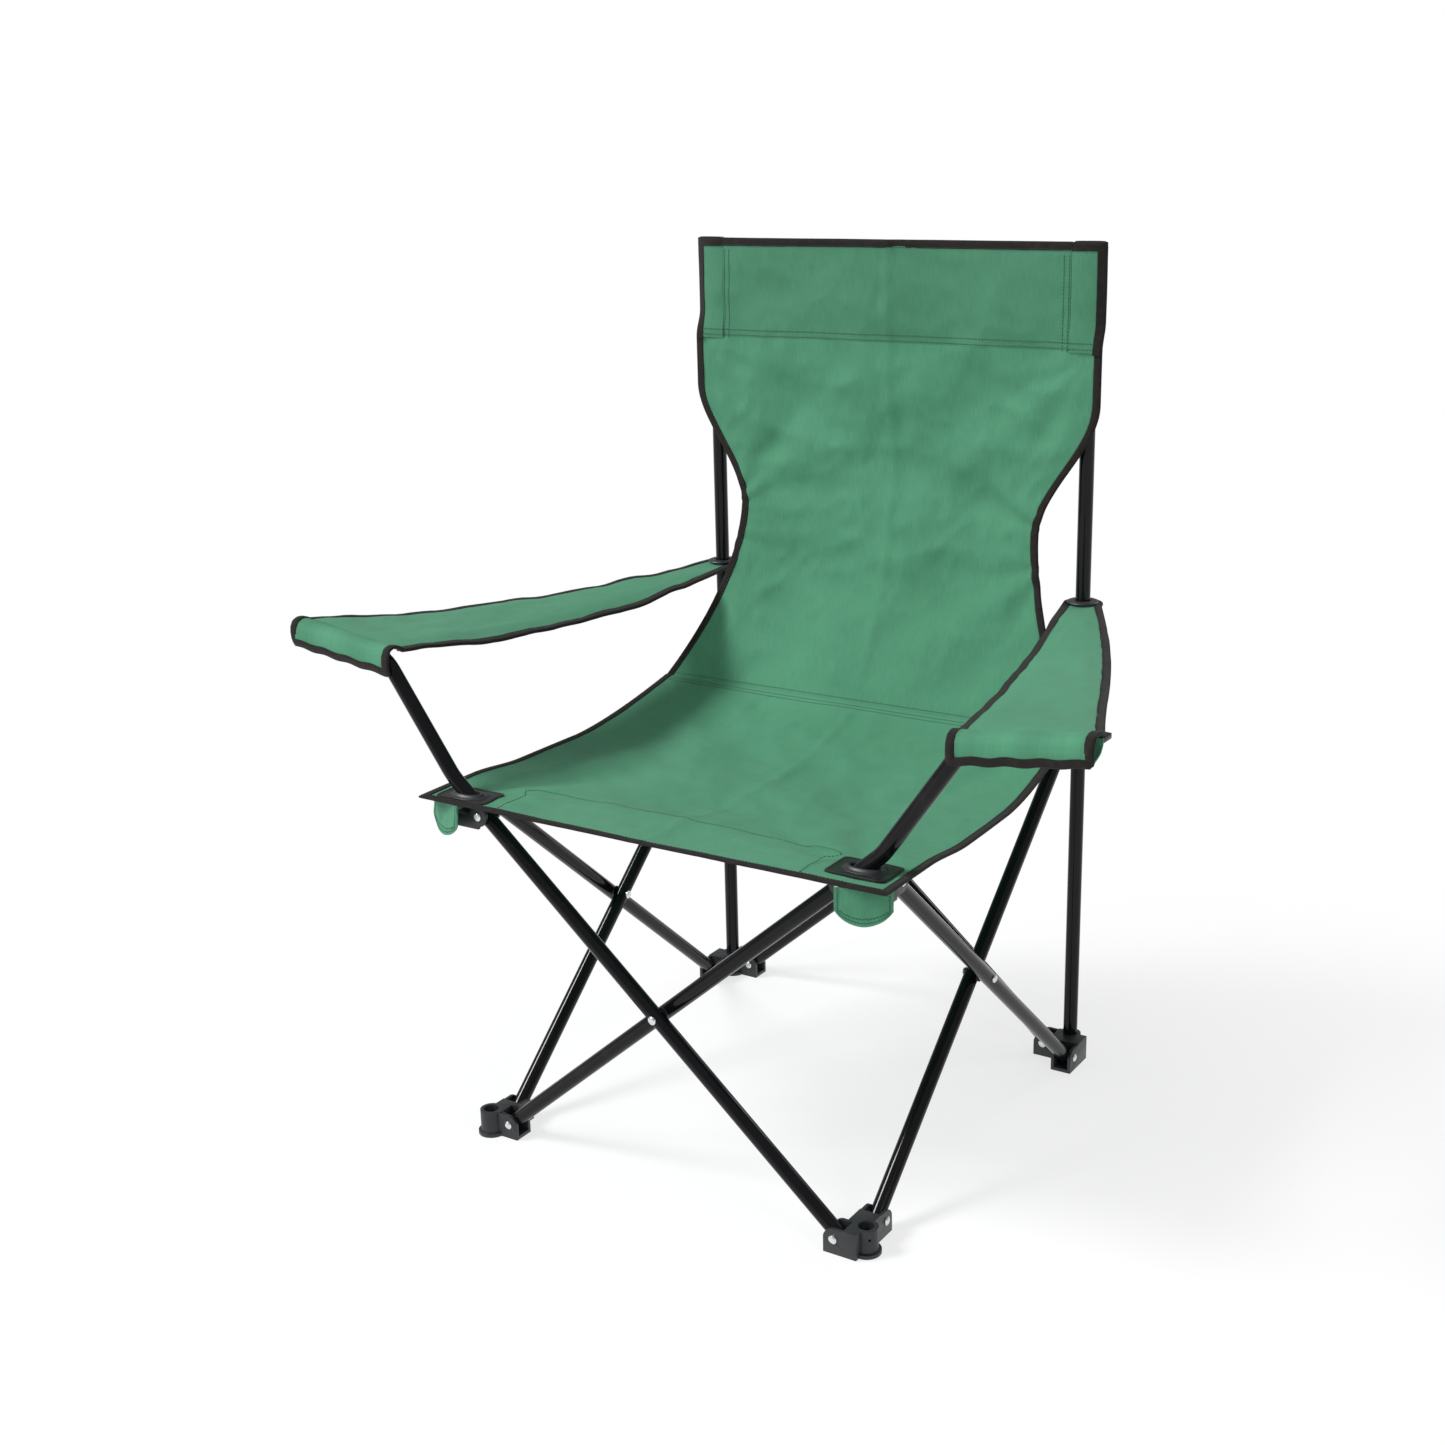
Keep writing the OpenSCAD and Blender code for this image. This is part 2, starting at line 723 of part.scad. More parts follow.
bracket_node(1, pair_off, -pair_off);  // seat_bracket_right
bracket_rivets_node(-1, -pair_off, -pair_off);  // seat_bracket_left_rivets
bracket_rivets_node(1, pair_off, -pair_off);  // seat_bracket_right_rivets
color(steel_black) across_tube(-1, 1, -pair_off) straight_tube(pitch);  // rear_tube_outer
color(steel_black) across_tube(1, 1, pair_off) straight_tube(pitch);  // rear_tube_inner
color(steel_black) along_tube(-1, 1, -pair_off) straight_tube(side_pitch);  // left_tube_outer
color(steel_black) along_tube(-1, -1, pair_off) straight_tube(side_pitch);  // left_tube_inner
color(steel_black) along_tube(1, 1, -pair_off) straight_tube(side_pitch);  // right_tube_outer
color(steel_black) along_tube(1, -1, pair_off) straight_tube(side_pitch);  // right_tube_inner
color(steel_black) across_tube(1, -1, -pair_off) arm_tube();  // arm_tube_left
color(steel_black) across_tube(-1, -1, pair_off) arm_tube();  // arm_tube_right
color(plastic) across_tube(1, -1, -pair_off) arm_cap();  // arm_cap_left
color(plastic) across_tube(-1, -1, pair_off) arm_cap();  // arm_cap_right
color(rivet_steel) across_middle(front_y) pair_rivet();  // front_pivot_rivet
color(rivet_steel) across_middle(rear_y) pair_rivet();  // rear_pivot_rivet
color(rivet_steel) along_middle(-1) pair_rivet();  // left_pivot_rivet
color(rivet_steel) along_middle(1) pair_rivet();  // right_pivot_rivet
color(plastic) across_middle(front_y) pair_washer();  // front_pivot_washer
color(plastic) across_middle(rear_y) pair_washer();  // rear_pivot_washer
color(plastic) along_middle(-1) pair_washer();  // left_pivot_washer
color(plastic) along_middle(1) pair_washer();  // right_pivot_washer
color(cloth_green) back_solid();  // back_cloth
color(cloth_green) head_panel_solid();  // head_panel
color(cloth_green) head_pocket(-1);  // head_pocket_left
color(cloth_green) head_pocket(1);  // head_pocket_right
color(cloth_green) seat_hem_solid();  // seat_front_hem
color(cloth_green) seat_piece(fold_y + cloth_gap, leaf_y);  // seat_front_leaf
color(cloth_green) seat_piece(leaf_y + cloth_gap, seam_y - cloth_gap);  // seat_rear_leaf
color(webbing) seat_strap(-1);  // seat_strap_left
color(webbing) seat_strap(1);  // seat_strap_right
color(webbing) corner_patch(-1);  // corner_patch_left
color(webbing) corner_patch(1);  // corner_patch_right
color(plastic) eyelet(-1);  // eyelet_left
color(plastic) eyelet(1);  // eyelet_right
color(cloth_green) corner_tab(-1);  // corner_tab_left
color(cloth_green) corner_tab(1);  // corner_tab_right
color(plastic) post_ring(-1);  // post_ring_left
color(plastic) post_ring(1);  // post_ring_right
color(cloth_green) armrest(-1);  // armrest_left
color(cloth_green) armrest(1);  // armrest_right
color(cloth_green) across_tube(1, -1, -pair_off) arm_sleeve();  // arm_sleeve_left
color(cloth_green) across_tube(-1, -1, pair_off) arm_sleeve();  // arm_sleeve_right
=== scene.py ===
# ---- Setting up ----
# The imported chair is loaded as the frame. Everything below is in metres, in the chair's own axes:
# the floor is z = 0, a sitter faces -Y, and +Z is up. Left pieces are on the -X side.
import json
import math
import bmesh
import bpy
import numpy as np
from mathutils import Matrix, Vector, noise


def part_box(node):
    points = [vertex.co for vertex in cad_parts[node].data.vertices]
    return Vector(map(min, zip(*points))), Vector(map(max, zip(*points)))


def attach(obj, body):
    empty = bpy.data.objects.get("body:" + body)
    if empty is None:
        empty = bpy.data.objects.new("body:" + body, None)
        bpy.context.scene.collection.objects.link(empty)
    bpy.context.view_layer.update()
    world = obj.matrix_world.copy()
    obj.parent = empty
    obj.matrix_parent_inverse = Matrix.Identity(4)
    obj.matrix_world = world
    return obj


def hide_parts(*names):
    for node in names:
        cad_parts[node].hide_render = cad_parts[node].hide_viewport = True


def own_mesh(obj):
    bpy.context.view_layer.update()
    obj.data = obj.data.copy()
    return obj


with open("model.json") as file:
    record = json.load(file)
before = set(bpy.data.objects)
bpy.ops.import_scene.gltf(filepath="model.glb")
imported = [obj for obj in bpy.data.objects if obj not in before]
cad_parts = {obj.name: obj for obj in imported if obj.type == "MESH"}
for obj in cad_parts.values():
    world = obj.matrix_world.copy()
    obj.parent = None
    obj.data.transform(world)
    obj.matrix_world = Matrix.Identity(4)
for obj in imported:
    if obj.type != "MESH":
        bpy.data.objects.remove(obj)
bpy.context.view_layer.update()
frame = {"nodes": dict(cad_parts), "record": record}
cad = frame["nodes"]
sides_of_chair = ((-1, "left"), (1, "right"))


# ---- Floor, light and camera ----
# A plain pale studio sweep under broad soft lights, with a camera about a metre up, off the front
# corner on the +X side.
bearing = math.radians(33.51)
tilt = math.radians(17.07)
lean = math.radians(-1.51)
aim = Vector((-0.0521, -0.0345, 0.4392))
distance = 2.0879
look = Vector((-math.sin(bearing) * math.cos(tilt), math.cos(bearing) * math.cos(tilt), -math.sin(tilt)))
level = Vector((math.cos(bearing), math.sin(bearing), 0))
rise = level.cross(look)
side_way = math.cos(lean) * level + math.sin(lean) * rise
up_way = math.cos(lean) * rise - math.sin(lean) * level
lens = bpy.data.cameras.new("studio_camera")
lens.sensor_width = 36
lens.lens = 49.0
lens.clip_start = 0.05
camera = bpy.data.objects.new("studio_camera", lens)
stand = aim - look * distance
camera.matrix_world = Matrix([(side_way[k], up_way[k], -look[k], stand[k]) for k in range(3)]
                             + [(0, 0, 0, 1)])
bpy.context.scene.collection.objects.link(camera)
bpy.context.scene.camera = camera


def new_material(name):
    """An empty material and its shader."""
    material = bpy.data.materials.new(name)
    material.use_nodes = True
    return material, material.node_tree.nodes["Principled BSDF"]


def node(material, kind, **values):
    """A node with its settings and sockets; another node's socket given as a value is linked."""
    tree = material.node_tree
    made = tree.nodes.new(kind)
    for key, value in values.items():
        if key in made.bl_rna.properties:
            setattr(made, key, value)
            continue
        name = key.replace("_", " ")
        socket = next(s for s in made.inputs if s.name == name and s.enabled)
        if isinstance(value, bpy.types.NodeSocket):
            tree.links.new(value, socket)
        else:
            socket.default_value = value
    return made


def math_node(material, operation, a, b=0.0, c=0.0):
    """The result of one sum."""
    made = material.node_tree.nodes.new("ShaderNodeMath")
    made.operation = operation
    for socket, value in zip(made.inputs, (a, b, c)):
        if isinstance(value, bpy.types.NodeSocket):
            material.node_tree.links.new(value, socket)
        else:
            socket.default_value = value
    return made.outputs[0]


def ramp(material, factor, stops):
    """A colour ramp between (place, colour) stops."""
    made = material.node_tree.nodes.new("ShaderNodeValToRGB")
    material.node_tree.links.new(factor, made.inputs[0])
    for stop, (place, colour) in zip(made.color_ramp.elements, (stops[0], stops[-1])):
        stop.position = place
        stop.color = (*colour, 1)
    for place, colour in stops[1:-1]:
        made.color_ramp.elements.new(place).color = (*colour, 1)
    return made.outputs[0]


def grey_ramp(material, factor, stops):
    """A ramp of plain numbers."""
    return ramp(material, factor, [(place, (value, value, value)) for place, value in stops])


def link(material, output, shader, name):
    """One link into a named socket."""
    material.node_tree.links.new(output, shader.inputs[name])


def wire(tree, pairs):
    """Several links, each from a source to a target."""
    for source, target in pairs:
        tree.links.new(source, target)


def place_of(material):
    """The place of a point on its object."""
    return node(material, "ShaderNodeTexCoord").outputs["Object"]


def speckle(material, place, scale, detail, **more):
    """Cloudy noise, about 0 to 1."""
    made = node(material, "ShaderNodeTexNoise", Vector=place, Scale=scale, Detail=detail, **more)
    return made.outputs["Fac"]


def surface(material, shader, tone, colours, roughness):
    """Colour and roughness that follow one tone."""
    link(material, ramp(material, tone, colours), shader, "Base Color")
    link(material, grey_ramp(material, tone, roughness), shader, "Roughness")


def dress(shader, **values):
    """Fixed values of a shader's sockets."""
    for key, value in values.items():
        shader.inputs[key.replace("_", " ")].default_value = value


def bump(material, height, distance, strength=1.0, under=None):
    """Surface relief from a height, laid over other relief."""
    made = node(material, "ShaderNodeBump", Strength=strength, Distance=distance, Height=height)
    if under is not None:
        material.node_tree.links.new(under, made.inputs["Normal"])
    return made.outputs[0]


def relief(material, shader, fine, coarse):
    """Two layers of relief, each a (height, distance, strength)."""
    link(material, bump(material, *fine, bump(material, *coarse)), shader, "Normal")


sweep_material, sweep_shader = new_material("studio_floor")
sweep_place = place_of(sweep_material)
sweep_tone = speckle(sweep_material, sweep_place, 1.4, 3.0)
link(sweep_material, ramp(sweep_material, sweep_tone, [(0.3, (0.90, 0.90, 0.90)), (0.7, (0.92, 0.92, 0.92))]),
     sweep_shader, "Base Color")
dress(sweep_shader, Roughness=0.85, Specular_IOR_Level=0.2)
sweep_reach = node(sweep_material, "ShaderNodeVectorMath", operation="LENGTH")
sweep_far = math_node(sweep_material, "DIVIDE", sweep_reach.outputs["Value"], 4.0)
sweep_glow = node(sweep_material, "ShaderNodeEmission", Color=(1.0, 1.0, 1.0, 1.0), Strength=1.0)
sweep_mix = node(sweep_material, "ShaderNodeMixShader")
wire(sweep_material.node_tree, (
    (sweep_place, sweep_reach.inputs[0]),
    (grey_ramp(sweep_material, sweep_far, [(0.10, 0.72), (0.36, 1.0)]), sweep_mix.inputs[0]),
    (sweep_shader.outputs[0], sweep_mix.inputs[1]), (sweep_glow.outputs[0], sweep_mix.inputs[2]),
    (sweep_mix.outputs[0], sweep_material.node_tree.nodes["Material Output"].inputs[0])))
floor_mesh = bpy.data.meshes.new("studio_floor")
floor_mesh.from_pydata([(-14, -14, 0), (14, -14, 0), (14, 14, 0), (-14, 14, 0)], [], [(0, 1, 2, 3)])
floor_mesh.materials.append(sweep_material)
studio_floor = bpy.data.objects.new("studio_floor", floor_mesh)
bpy.context.scene.collection.objects.link(studio_floor)

studio_air = bpy.data.worlds.new("studio_air")
studio_air.use_nodes = True
air_nodes = studio_air.node_tree.nodes
seen_air = air_nodes.new("ShaderNodeBackground")
seen_air.inputs["Color"].default_value = (1.0, 1.0, 1.0, 1)
seen_air.inputs["Strength"].default_value = 1.0
air_nodes["Background"].inputs["Color"].default_value = (0.97, 0.985, 1.0, 1)
air_nodes["Background"].inputs["Strength"].default_value = 0.40
air_choice = air_nodes.new("ShaderNodeMixShader")
wire(studio_air.node_tree, (
    (air_nodes.new("ShaderNodeLightPath").outputs["Is Camera Ray"], air_choice.inputs[0]),
    (air_nodes["Background"].outputs[0], air_choice.inputs[1]),
    (seen_air.outputs[0], air_choice.inputs[2]),
    (air_choice.outputs[0], air_nodes["World Output"].inputs[0])))
bpy.context.scene.world = studio_air
bpy.context.scene.view_settings.view_transform = "Standard"
high_lamp = bpy.data.lights.new("high_light", "SUN")
high_lamp.energy = 2.3
high_lamp.angle = math.radians(16)
high_stand = bpy.data.objects.new("high_light", high_lamp)
high_stand.rotation_euler = Vector((0.75, 0.50, -1)).to_track_quat("-Z", "Y").to_euler()
bpy.context.scene.collection.objects.link(high_stand)
for lamp_name, place, size, power in (
        ("key_light", (-1.9, -2.3, 2.3), 0.9, 34),
        ("side_light", (2.6, -1.2, 1.6), 0.7, 12),
        ("rear_light", (1.2, 2.6, 1.9), 0.8, 12)):
    lamp = bpy.data.lights.new(lamp_name, "AREA")
    lamp.size = size
    lamp.energy = power
    lamp_stand = bpy.data.objects.new(lamp_name, lamp)
    lamp_stand.location = place
    lamp_stand.rotation_euler = (Vector((0, 0, 0.45)) - Vector(place)).to_track_quat("-Z", "Y").to_euler()
    bpy.context.scene.collection.objects.link(lamp_stand)


# ---- Frame tubes and rear posts ----
# Eight 16 mm steel tubes cross in four scissor pairs, and two more stand as rear posts. They are
# powder coated gloss black, with a faint orange peel and dull rubbed patches.
tube_names = ["post_left", "post_right", "rear_tube_outer", "rear_tube_inner", "left_tube_outer",
              "left_tube_inner", "right_tube_outer", "right_tube_inner", "arm_tube_left", "arm_tube_right"]
gloss_black, gloss_shader = new_material("gloss_black_coat")
tube_place = place_of(gloss_black)
tube_wear = speckle(gloss_black, tube_place, 24.0, 5.0, Roughness=0.6)
surface(gloss_black, gloss_shader, tube_wear,
        [(0.35, (0.003, 0.003, 0.004)), (0.62, (0.005, 0.005, 0.006)), (0.78, (0.012, 0.012, 0.013))],
        [(0.3, 0.09), (0.6, 0.13), (0.8, 0.26)])
peel = speckle(gloss_black, tube_place, 140.0, 1.0)
dings = speckle(gloss_black, tube_place, 60.0, 2.0)
relief(gloss_black, gloss_shader, (peel, 0.00004, 0.15), (dings, 0.0001, 0.12))
dress(gloss_shader, Specular_IOR_Level=0.17, Coat_Weight=0.07, Coat_Roughness=0.08)


def clothe(name, material):
    """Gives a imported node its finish."""
    cad[name].data.materials.clear()
    cad[name].data.materials.append(material)


for tube_name in tube_names:
    clothe(tube_name, gloss_black)


# ---- Corner hubs, caps and washers ----
# The feet, the two sliders, the two seat brackets, the plugs and the washers are injection moulded in
# black nylon, with small rounded edges and a fine spark-eroded grain.
hub_names = ["foot_rear_left", "foot_rear_right", "foot_front_left", "foot_front_right", "slider_left",
             "slider_right", "seat_bracket_left", "seat_bracket_right"]
plug_names = ["post_cap_left", "post_cap_right", "arm_cap_left", "arm_cap_right", "front_pivot_washer",
              "rear_pivot_washer", "left_pivot_washer", "right_pivot_washer"]
nylon, nylon_shader = new_material("black_nylon")
nylon_place = place_of(nylon)
nylon_tone = speckle(nylon, nylon_place, 38.0, 4.0)
surface(nylon, nylon_shader, nylon_tone,
        [(0.3, (0.013, 0.014, 0.016)), (0.6, (0.020, 0.021, 0.024)), (0.82, (0.040, 0.041, 0.044))],
        [(0.3, 0.34), (0.75, 0.52)])
nylon_grain = node(nylon, "ShaderNodeTexVoronoi", Vector=nylon_place, Scale=1400.0).outputs["Distance"]
nylon_sink = speckle(nylon, nylon_place, 90.0, 2.0)
relief(nylon, nylon_shader, (nylon_grain, 0.00005, 0.5), (nylon_sink, 0.0003, 0.3))
body_of_node = {n: b for b, members in frame["record"]["behaviour"]["bodies"].items() for n in members}


def settle(mesh, angle=40):
    """Smooth faces that break at sharp edges."""
    mesh.shade_smooth()
    mesh.set_sharp_from_angle(angle=math.radians(angle))


def add_piece(name, mesh, material):
    """A new object at the origin."""
    mesh.name = name
    mesh.materials.clear()
    mesh.materials.append(material)
    piece = bpy.data.objects.new(name, mesh)
    bpy.context.scene.collection.objects.link(piece)
    return piece


def finished_mesh(piece):
    """The piece's mesh with its modifiers applied."""
    depsgraph = bpy.context.evaluated_depsgraph_get()
    depsgraph.update()
    return bpy.data.meshes.new_from_object(piece.evaluated_get(depsgraph))


def loft(name, rings, material, angle, closed=True, measures=None):
    """A skin over rings of points. The last ring meets the first, or both ends are capped.
    Measures are the tape's own distances along and around."""
    count, size = len(rings), len(rings[0])
    shape = bmesh.new()
    corners = [shape.verts.new(p) for ring in rings for p in ring]
    faces = []
    for i in range(count if closed else count - 1):
        for j in range(size):
            a, b = (i + 1) % count, (j + 1) % size
            faces.append((i * size + j, a * size + j, a * size + b, i * size + b))
    if not closed:
        faces += [tuple(range(size)), tuple((count - 1) * size + j for j in range(size - 1, -1, -1))]
    layer = shape.loops.layers.uv.new("tape") if measures else None
    for face in faces:
        made = shape.faces.new([corners[k] for k in face])
        if measures:
            for loop, k in zip(made.loops, face):
                loop[layer].uv = (measures[0][k // size], measures[1][k % size])
    bmesh.ops.recalc_face_normals(shape, faces=shape.faces)
    mesh = bpy.data.meshes.new(name)
    shape.to_mesh(mesh)
    shape.free()
    settle(mesh, angle)
    return add_piece(name, mesh, material)


def eased_copy(source, name, width, material):
    """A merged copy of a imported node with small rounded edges."""
    shape = bmesh.new()
    shape.from_mesh(cad[source].data)
    bmesh.ops.remove_doubles(shape, verts=shape.verts, dist=2e-6)
    bmesh.ops.dissolve_limit(shape, angle_limit=math.radians(0.6), verts=shape.verts, edges=shape.edges)
    mesh = bpy.data.meshes.new(name)
    shape.to_mesh(mesh)
    shape.free()
    rough = add_piece(name + "_rough", mesh, material)
    edges = rough.modifiers.new("edges", "BEVEL")
    edges.width = width
    edges.segments = 2
    edges.limit_method = "ANGLE"
    edges.angle_limit = math.radians(50)
    edges.use_clamp_overlap = True
    done = finished_mesh(rough)
    bpy.data.objects.remove(rough)
    settle(done, 35)
    return add_piece(name, done, material)


for hub_name in hub_names:
    hub = eased_copy(hub_name, hub_name + "_moulding", 0.0005, nylon)
    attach(hub, body_of_node[hub_name])
    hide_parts(hub_name)
for plug_name in plug_names:
    clothe(plug_name, nylon)


# ---- Rivets and post pins ----
# Zinc plated steel semi-tubular rivets, with a low domed head on each side of a fork or a crossing,
# and a small pin through each rear foot into its post.
rivet_names = ["front_pivot_rivet", "rear_pivot_rivet", "left_pivot_rivet", "right_pivot_rivet"] + [
    hub_name + "_rivets" for hub_name in hub_names]
zinc, zinc_shader = new_material("bright_zinc")
zinc_place = place_of(zinc)
zinc_tone = speckle(zinc, zinc_place, 300.0, 4.0)
surface(zinc, zinc_shader, zinc_tone,
        [(0.3, (0.62, 0.63, 0.65)), (0.7, (0.84, 0.85, 0.87))],
        [(0.3, 0.2), (0.75, 0.36)])
link(zinc, bump(zinc, zinc_tone, 0.00008, 0.4), zinc_shader, "Normal")
dress(zinc_shader, Metallic=1.0)
for rivet_name in rivet_names:
    clothe(rivet_name, zinc)


# ---- Seat and back cloth ----
# One width of coated green polyester runs from the front hem over the seat, up the back and into the
# head panel. The seat is in three leaves, because it folds down the middle and under as the frame closes.
foot_low, foot_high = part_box("post_right")
half_gauge = (foot_low.x + foot_high.x) / 2
rear_plane = (foot_low.y + foot_high.y) / 2
hem_low, hem_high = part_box("seat_front_hem")
front_low, front_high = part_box("seat_front_leaf")
leaf_low, leaf_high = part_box("seat_rear_leaf")
back_low, back_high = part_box("back_cloth")
pocket_low, pocket_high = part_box("head_pocket_right")
front_edge = hem_low.y
seam_y = leaf_high.y
seam_z = back_low.z
back_plane = back_high.y - 0.0025
head_seam = pocket_low.z
head_top = back_high.z
head_end = head_top - 0.003
shoulder = pocket_high.x
pocket_seam = pocket_low.x
waist_half = 0.188
seat_level = hem_low.z
seat_half = hem_high.x
cloth_thick = 0.0011
corner_cut = 0.015
seat_sweep = 0.17
waist_drop = 0.2
shoulder_rise = 0.14
back_sweep = 0.309
hip_half = seat_half - corner_cut
waist_z = seam_z + waist_drop


def ease(t):
    """A smooth step from 0 to 1."""
    t = min(max(t, 0.0), 1.0)
    return t * t * (3 - 2 * t)


def seat_height(y):
    """Middle of the seat cloth's thickness along its side edge."""
    rise_y = seam_y - seat_sweep
    if y < rise_y:
        return seat_level + 0.00125 - 0.006 * ease((y - front_edge - 0.085) / 0.08)
    return seat_level - 0.00475 + 0.032 * ((y - rise_y) / seat_sweep) ** 1.6


def seat_edge(y):
    """Half the width of the seat."""
    return seat_half - corner_cut * ((y - front_edge) / (seam_y - front_edge)) ** 3


def back_depth(z):
    """Y of the back's front layer along its side edge."""
    t = min(max((z - seam_z) / back_sweep, 0.0), 1.0)
    return back_plane + 0.00125 - (back_plane - seam_y) * (1 - t) ** 2.2


def back_edge(z):
    """Half the width of the back."""
    if z < waist_z:
        return waist_half + (hip_half - waist_half) * ((waist_z - z) / waist_drop) ** 1.7
    return waist_half + (shoulder - waist_half) * ease((z - waist_z) / shoulder_rise)


def crumple(u, v, seed):
    """Soft flat facets that meet in low ridges, as on cloth that was packed in a bag; about -1 to 1."""
    total = 0.0
    for scale, weight, turn in ((7.5, 0.48, 0.5), (13.0, 0.32, -0.9), (24.0, 0.20, 1.9), (41.0, 0.09, 0.2)):
        a = u * math.cos(turn) - v * math.sin(turn)
        b = u * math.sin(turn) + v * math.cos(turn)
        n = noise.noise(Vector((a * scale, b * scale * 0.7, seed + scale)))
        total += weight * (1 - 4.2 * abs(n))
    for scale, weight in ((8.0, 0.42), (15.0, 0.22)):
        near = noise.voronoi(Vector((u * scale + 0.25 * v * scale, v * scale * 0.8, seed * 0.7 + scale)))[0]
        total += weight * min(near[1] - near[0], 0.6) / 0.6
    return total - 0.3


def gather(p, start, end, spread, count=2.5):
    """Low folds that fan out from a held point; 1 on a ridge, 0 away from the fan."""
    away = Vector(p) - Vector(start)
    along = Vector(end) - Vector(start)
    reach = along.length
    far = away.length / reach
    if far > 1.3 or far < 0.02:
        return 0.0
    angle = math.atan2(along.x * away.y - along.y * away.x, along.x * away.x + along.y * away.y)
    if abs(angle) > spread:
        return 0.0
    fade = math.cos(angle / spread * math.pi / 2) * math.sin(min(far / 1.3, 1.0) * math.pi) ** 0.8
    return fade * math.cos(angle / spread * math.pi * count)


def fans(p, folds):
    """The sum of fans on both sides of the chair, each a (height, start, end, spread)."""
    return sum(height * gather(p, (corner * start[0], start[1]), (corner * end[0], end[1]), spread)
               for corner in (-1, 1) for height, start, end, spread in folds)


def seat_point(side, y):
    """A point of the seat; side runs from -1 to 1 across it."""
    x = side * seat_edge(y)
    z = seat_height(y)
    along = (y - front_edge) / (seam_y - front_edge)
    middle = max(0.0, 1 - side * side)
    z -= 0.010 * middle * math.sin(math.pi * min(max(along, 0), 1)) ** 0.8
    still = ease((seam_y - y) / 0.03)
    hold = min(1.0, (1 - abs(side)) / 0.12) * min(1.0, (y - front_edge + 0.004) / 0.04) * still
    z += 0.0034 * crumple(x, y, 3.0) * hold
    z += 0.0016 * math.exp(-((x - 0.004 * math.sin(y * 17)) / 0.006) ** 2) * hold
    z += still * fans((x, y), (
        (0.0024, (0.229, front_edge + 0.04), (0.05, front_edge + 0.22), 0.8),
        (0.0020, (0.25, seam_y), (0.10, seam_y - seat_sweep), 0.7)))
    return Vector((x, y, z))


def back_point(side, z):
    """A point of the back's front layer."""
    x = side * back_edge(z)
    up = (z - seam_z) / (head_top - seam_z)
    y = back_depth(z)
    middle = max(0.0, 1 - side * side)
    y += 0.012 * middle * math.sin(math.pi * min(max(up, 0), 1)) ** 1.2
    still = ease((z - seam_z) / 0.03)
    hold = min(1.0, (1 - abs(side)) / 0.12) * still
    y -= 0.0054 * crumple(x, z, 11.0) * hold * (0.55 + 0.45 * math.sin(math.pi * min(up, 1)))
    y -= 0.0016 * math.exp(-((x - 0.003 * math.sin(z * 13)) / 0.006) ** 2) * hold
    y -= still * fans((x, z), (
        (0.0034, (0.20, waist_z), (0.03, waist_z + 0.13), 0.9),
        (0.0030, (0.21, waist_z - 0.03), (0.04, waist_z - 0.16), 0.9),
        (0.0022, (0.235, head_seam - 0.01), (0.08, head_seam - 0.15), 0.8)))
    if z > head_seam:
        lean_in = ease((z - head_seam) / (head_top - head_seam))
        y += 0.0052 * lean_in * (1 - 0.4 * middle)
    return Vector((x, y, z))


def surface_normals(points):
    """Unit normals of a grid of points."""
    across = np.gradient(points, axis=1)
    along = np.gradient(points, axis=0)
    normal = np.cross(across, along)
    return normal / np.linalg.norm(normal, axis=2, keepdims=True)


def cloth_shell(name, points, measures, material, thick=cloth_thick, ring=False):
    """A closed sheet of cloth about a grid of points, with its own measures in metres as UV.
    A ring's last column joins its first."""
    rows, columns = points.shape[:2]
    normal = surface_normals(points)
    if ring:
        wide = surface_normals(np.concatenate([points[:, -2:], points, points[:, :2]], axis=1))
        normal = wide[:, 2:-2]
    thick = np.asarray(thick)[..., None]
    faces = []
    outer = (points + normal * thick / 2).reshape(-1, 3)
    inner = (points - normal * thick / 2).reshape(-1, 3)
    count = rows * columns

    def at(i, j, layer):
        return layer * count + i * columns + j

    for i in range(rows - 1):
        for j in range(columns if ring else columns - 1):
            j2 = (j + 1) % columns
            faces.append((at(i, j, 0), at(i, j2, 0), at(i + 1, j2, 0), at(i + 1, j, 0)))
            faces.append((at(i, j, 1), at(i + 1, j, 1), at(i + 1, j2, 1), at(i, j2, 1)))
    if ring:
        rims = [[(0, j) for j in range(columns)], [(rows - 1, j) for j in range(columns - 1, -1, -1)]]
    else:
        rims = [[(0, j) for j in range(columns - 1)] + [(i, columns - 1) for i in range(rows - 1)]
                + [(rows - 1, j) for j in range(columns - 1, 0, -1)]
                + [(i, 0) for i in range(rows - 1, 0, -1)]]
    for rim in rims:
        for k, (i, j) in enumerate(rim):
            i2, j2 = rim[(k + 1) % len(rim)]
            faces.append((at(i, j, 0), at(i, j, 1), at(i2, j2, 1), at(i2, j2, 0)))
    mesh = bpy.data.meshes.new(name)
    mesh.from_pydata(np.vstack([outer, inner]).tolist(), [], faces)
    mesh.update()
    layer = mesh.uv_layers.new(name="cloth")
    flat = measures.reshape(-1, 2)
    corner_points = np.zeros(len(mesh.loops), int)
    mesh.loops.foreach_get("vertex_index", corner_points)
    layer.data.foreach_set("uv", flat[corner_points % count].ravel())
    settle(mesh, 60)
    return add_piece(name, mesh, material)


def grid(across, along, point):
    """Points of a surface, with the distances across and along it."""
    points = np.array([[point(a, b) for a in across] for b in along], float)
    middle = points[:, len(across) // 2]
    run = np.concatenate([[0], np.cumsum(np.linalg.norm(np.diff(middle, axis=0), axis=1))])
    measures = np.zeros(points.shape[:2] + (2,))
    measures[:, :, 0] = points[:, :, 0]
    measures[:, :, 1] = run[:, None]
    return points, measures


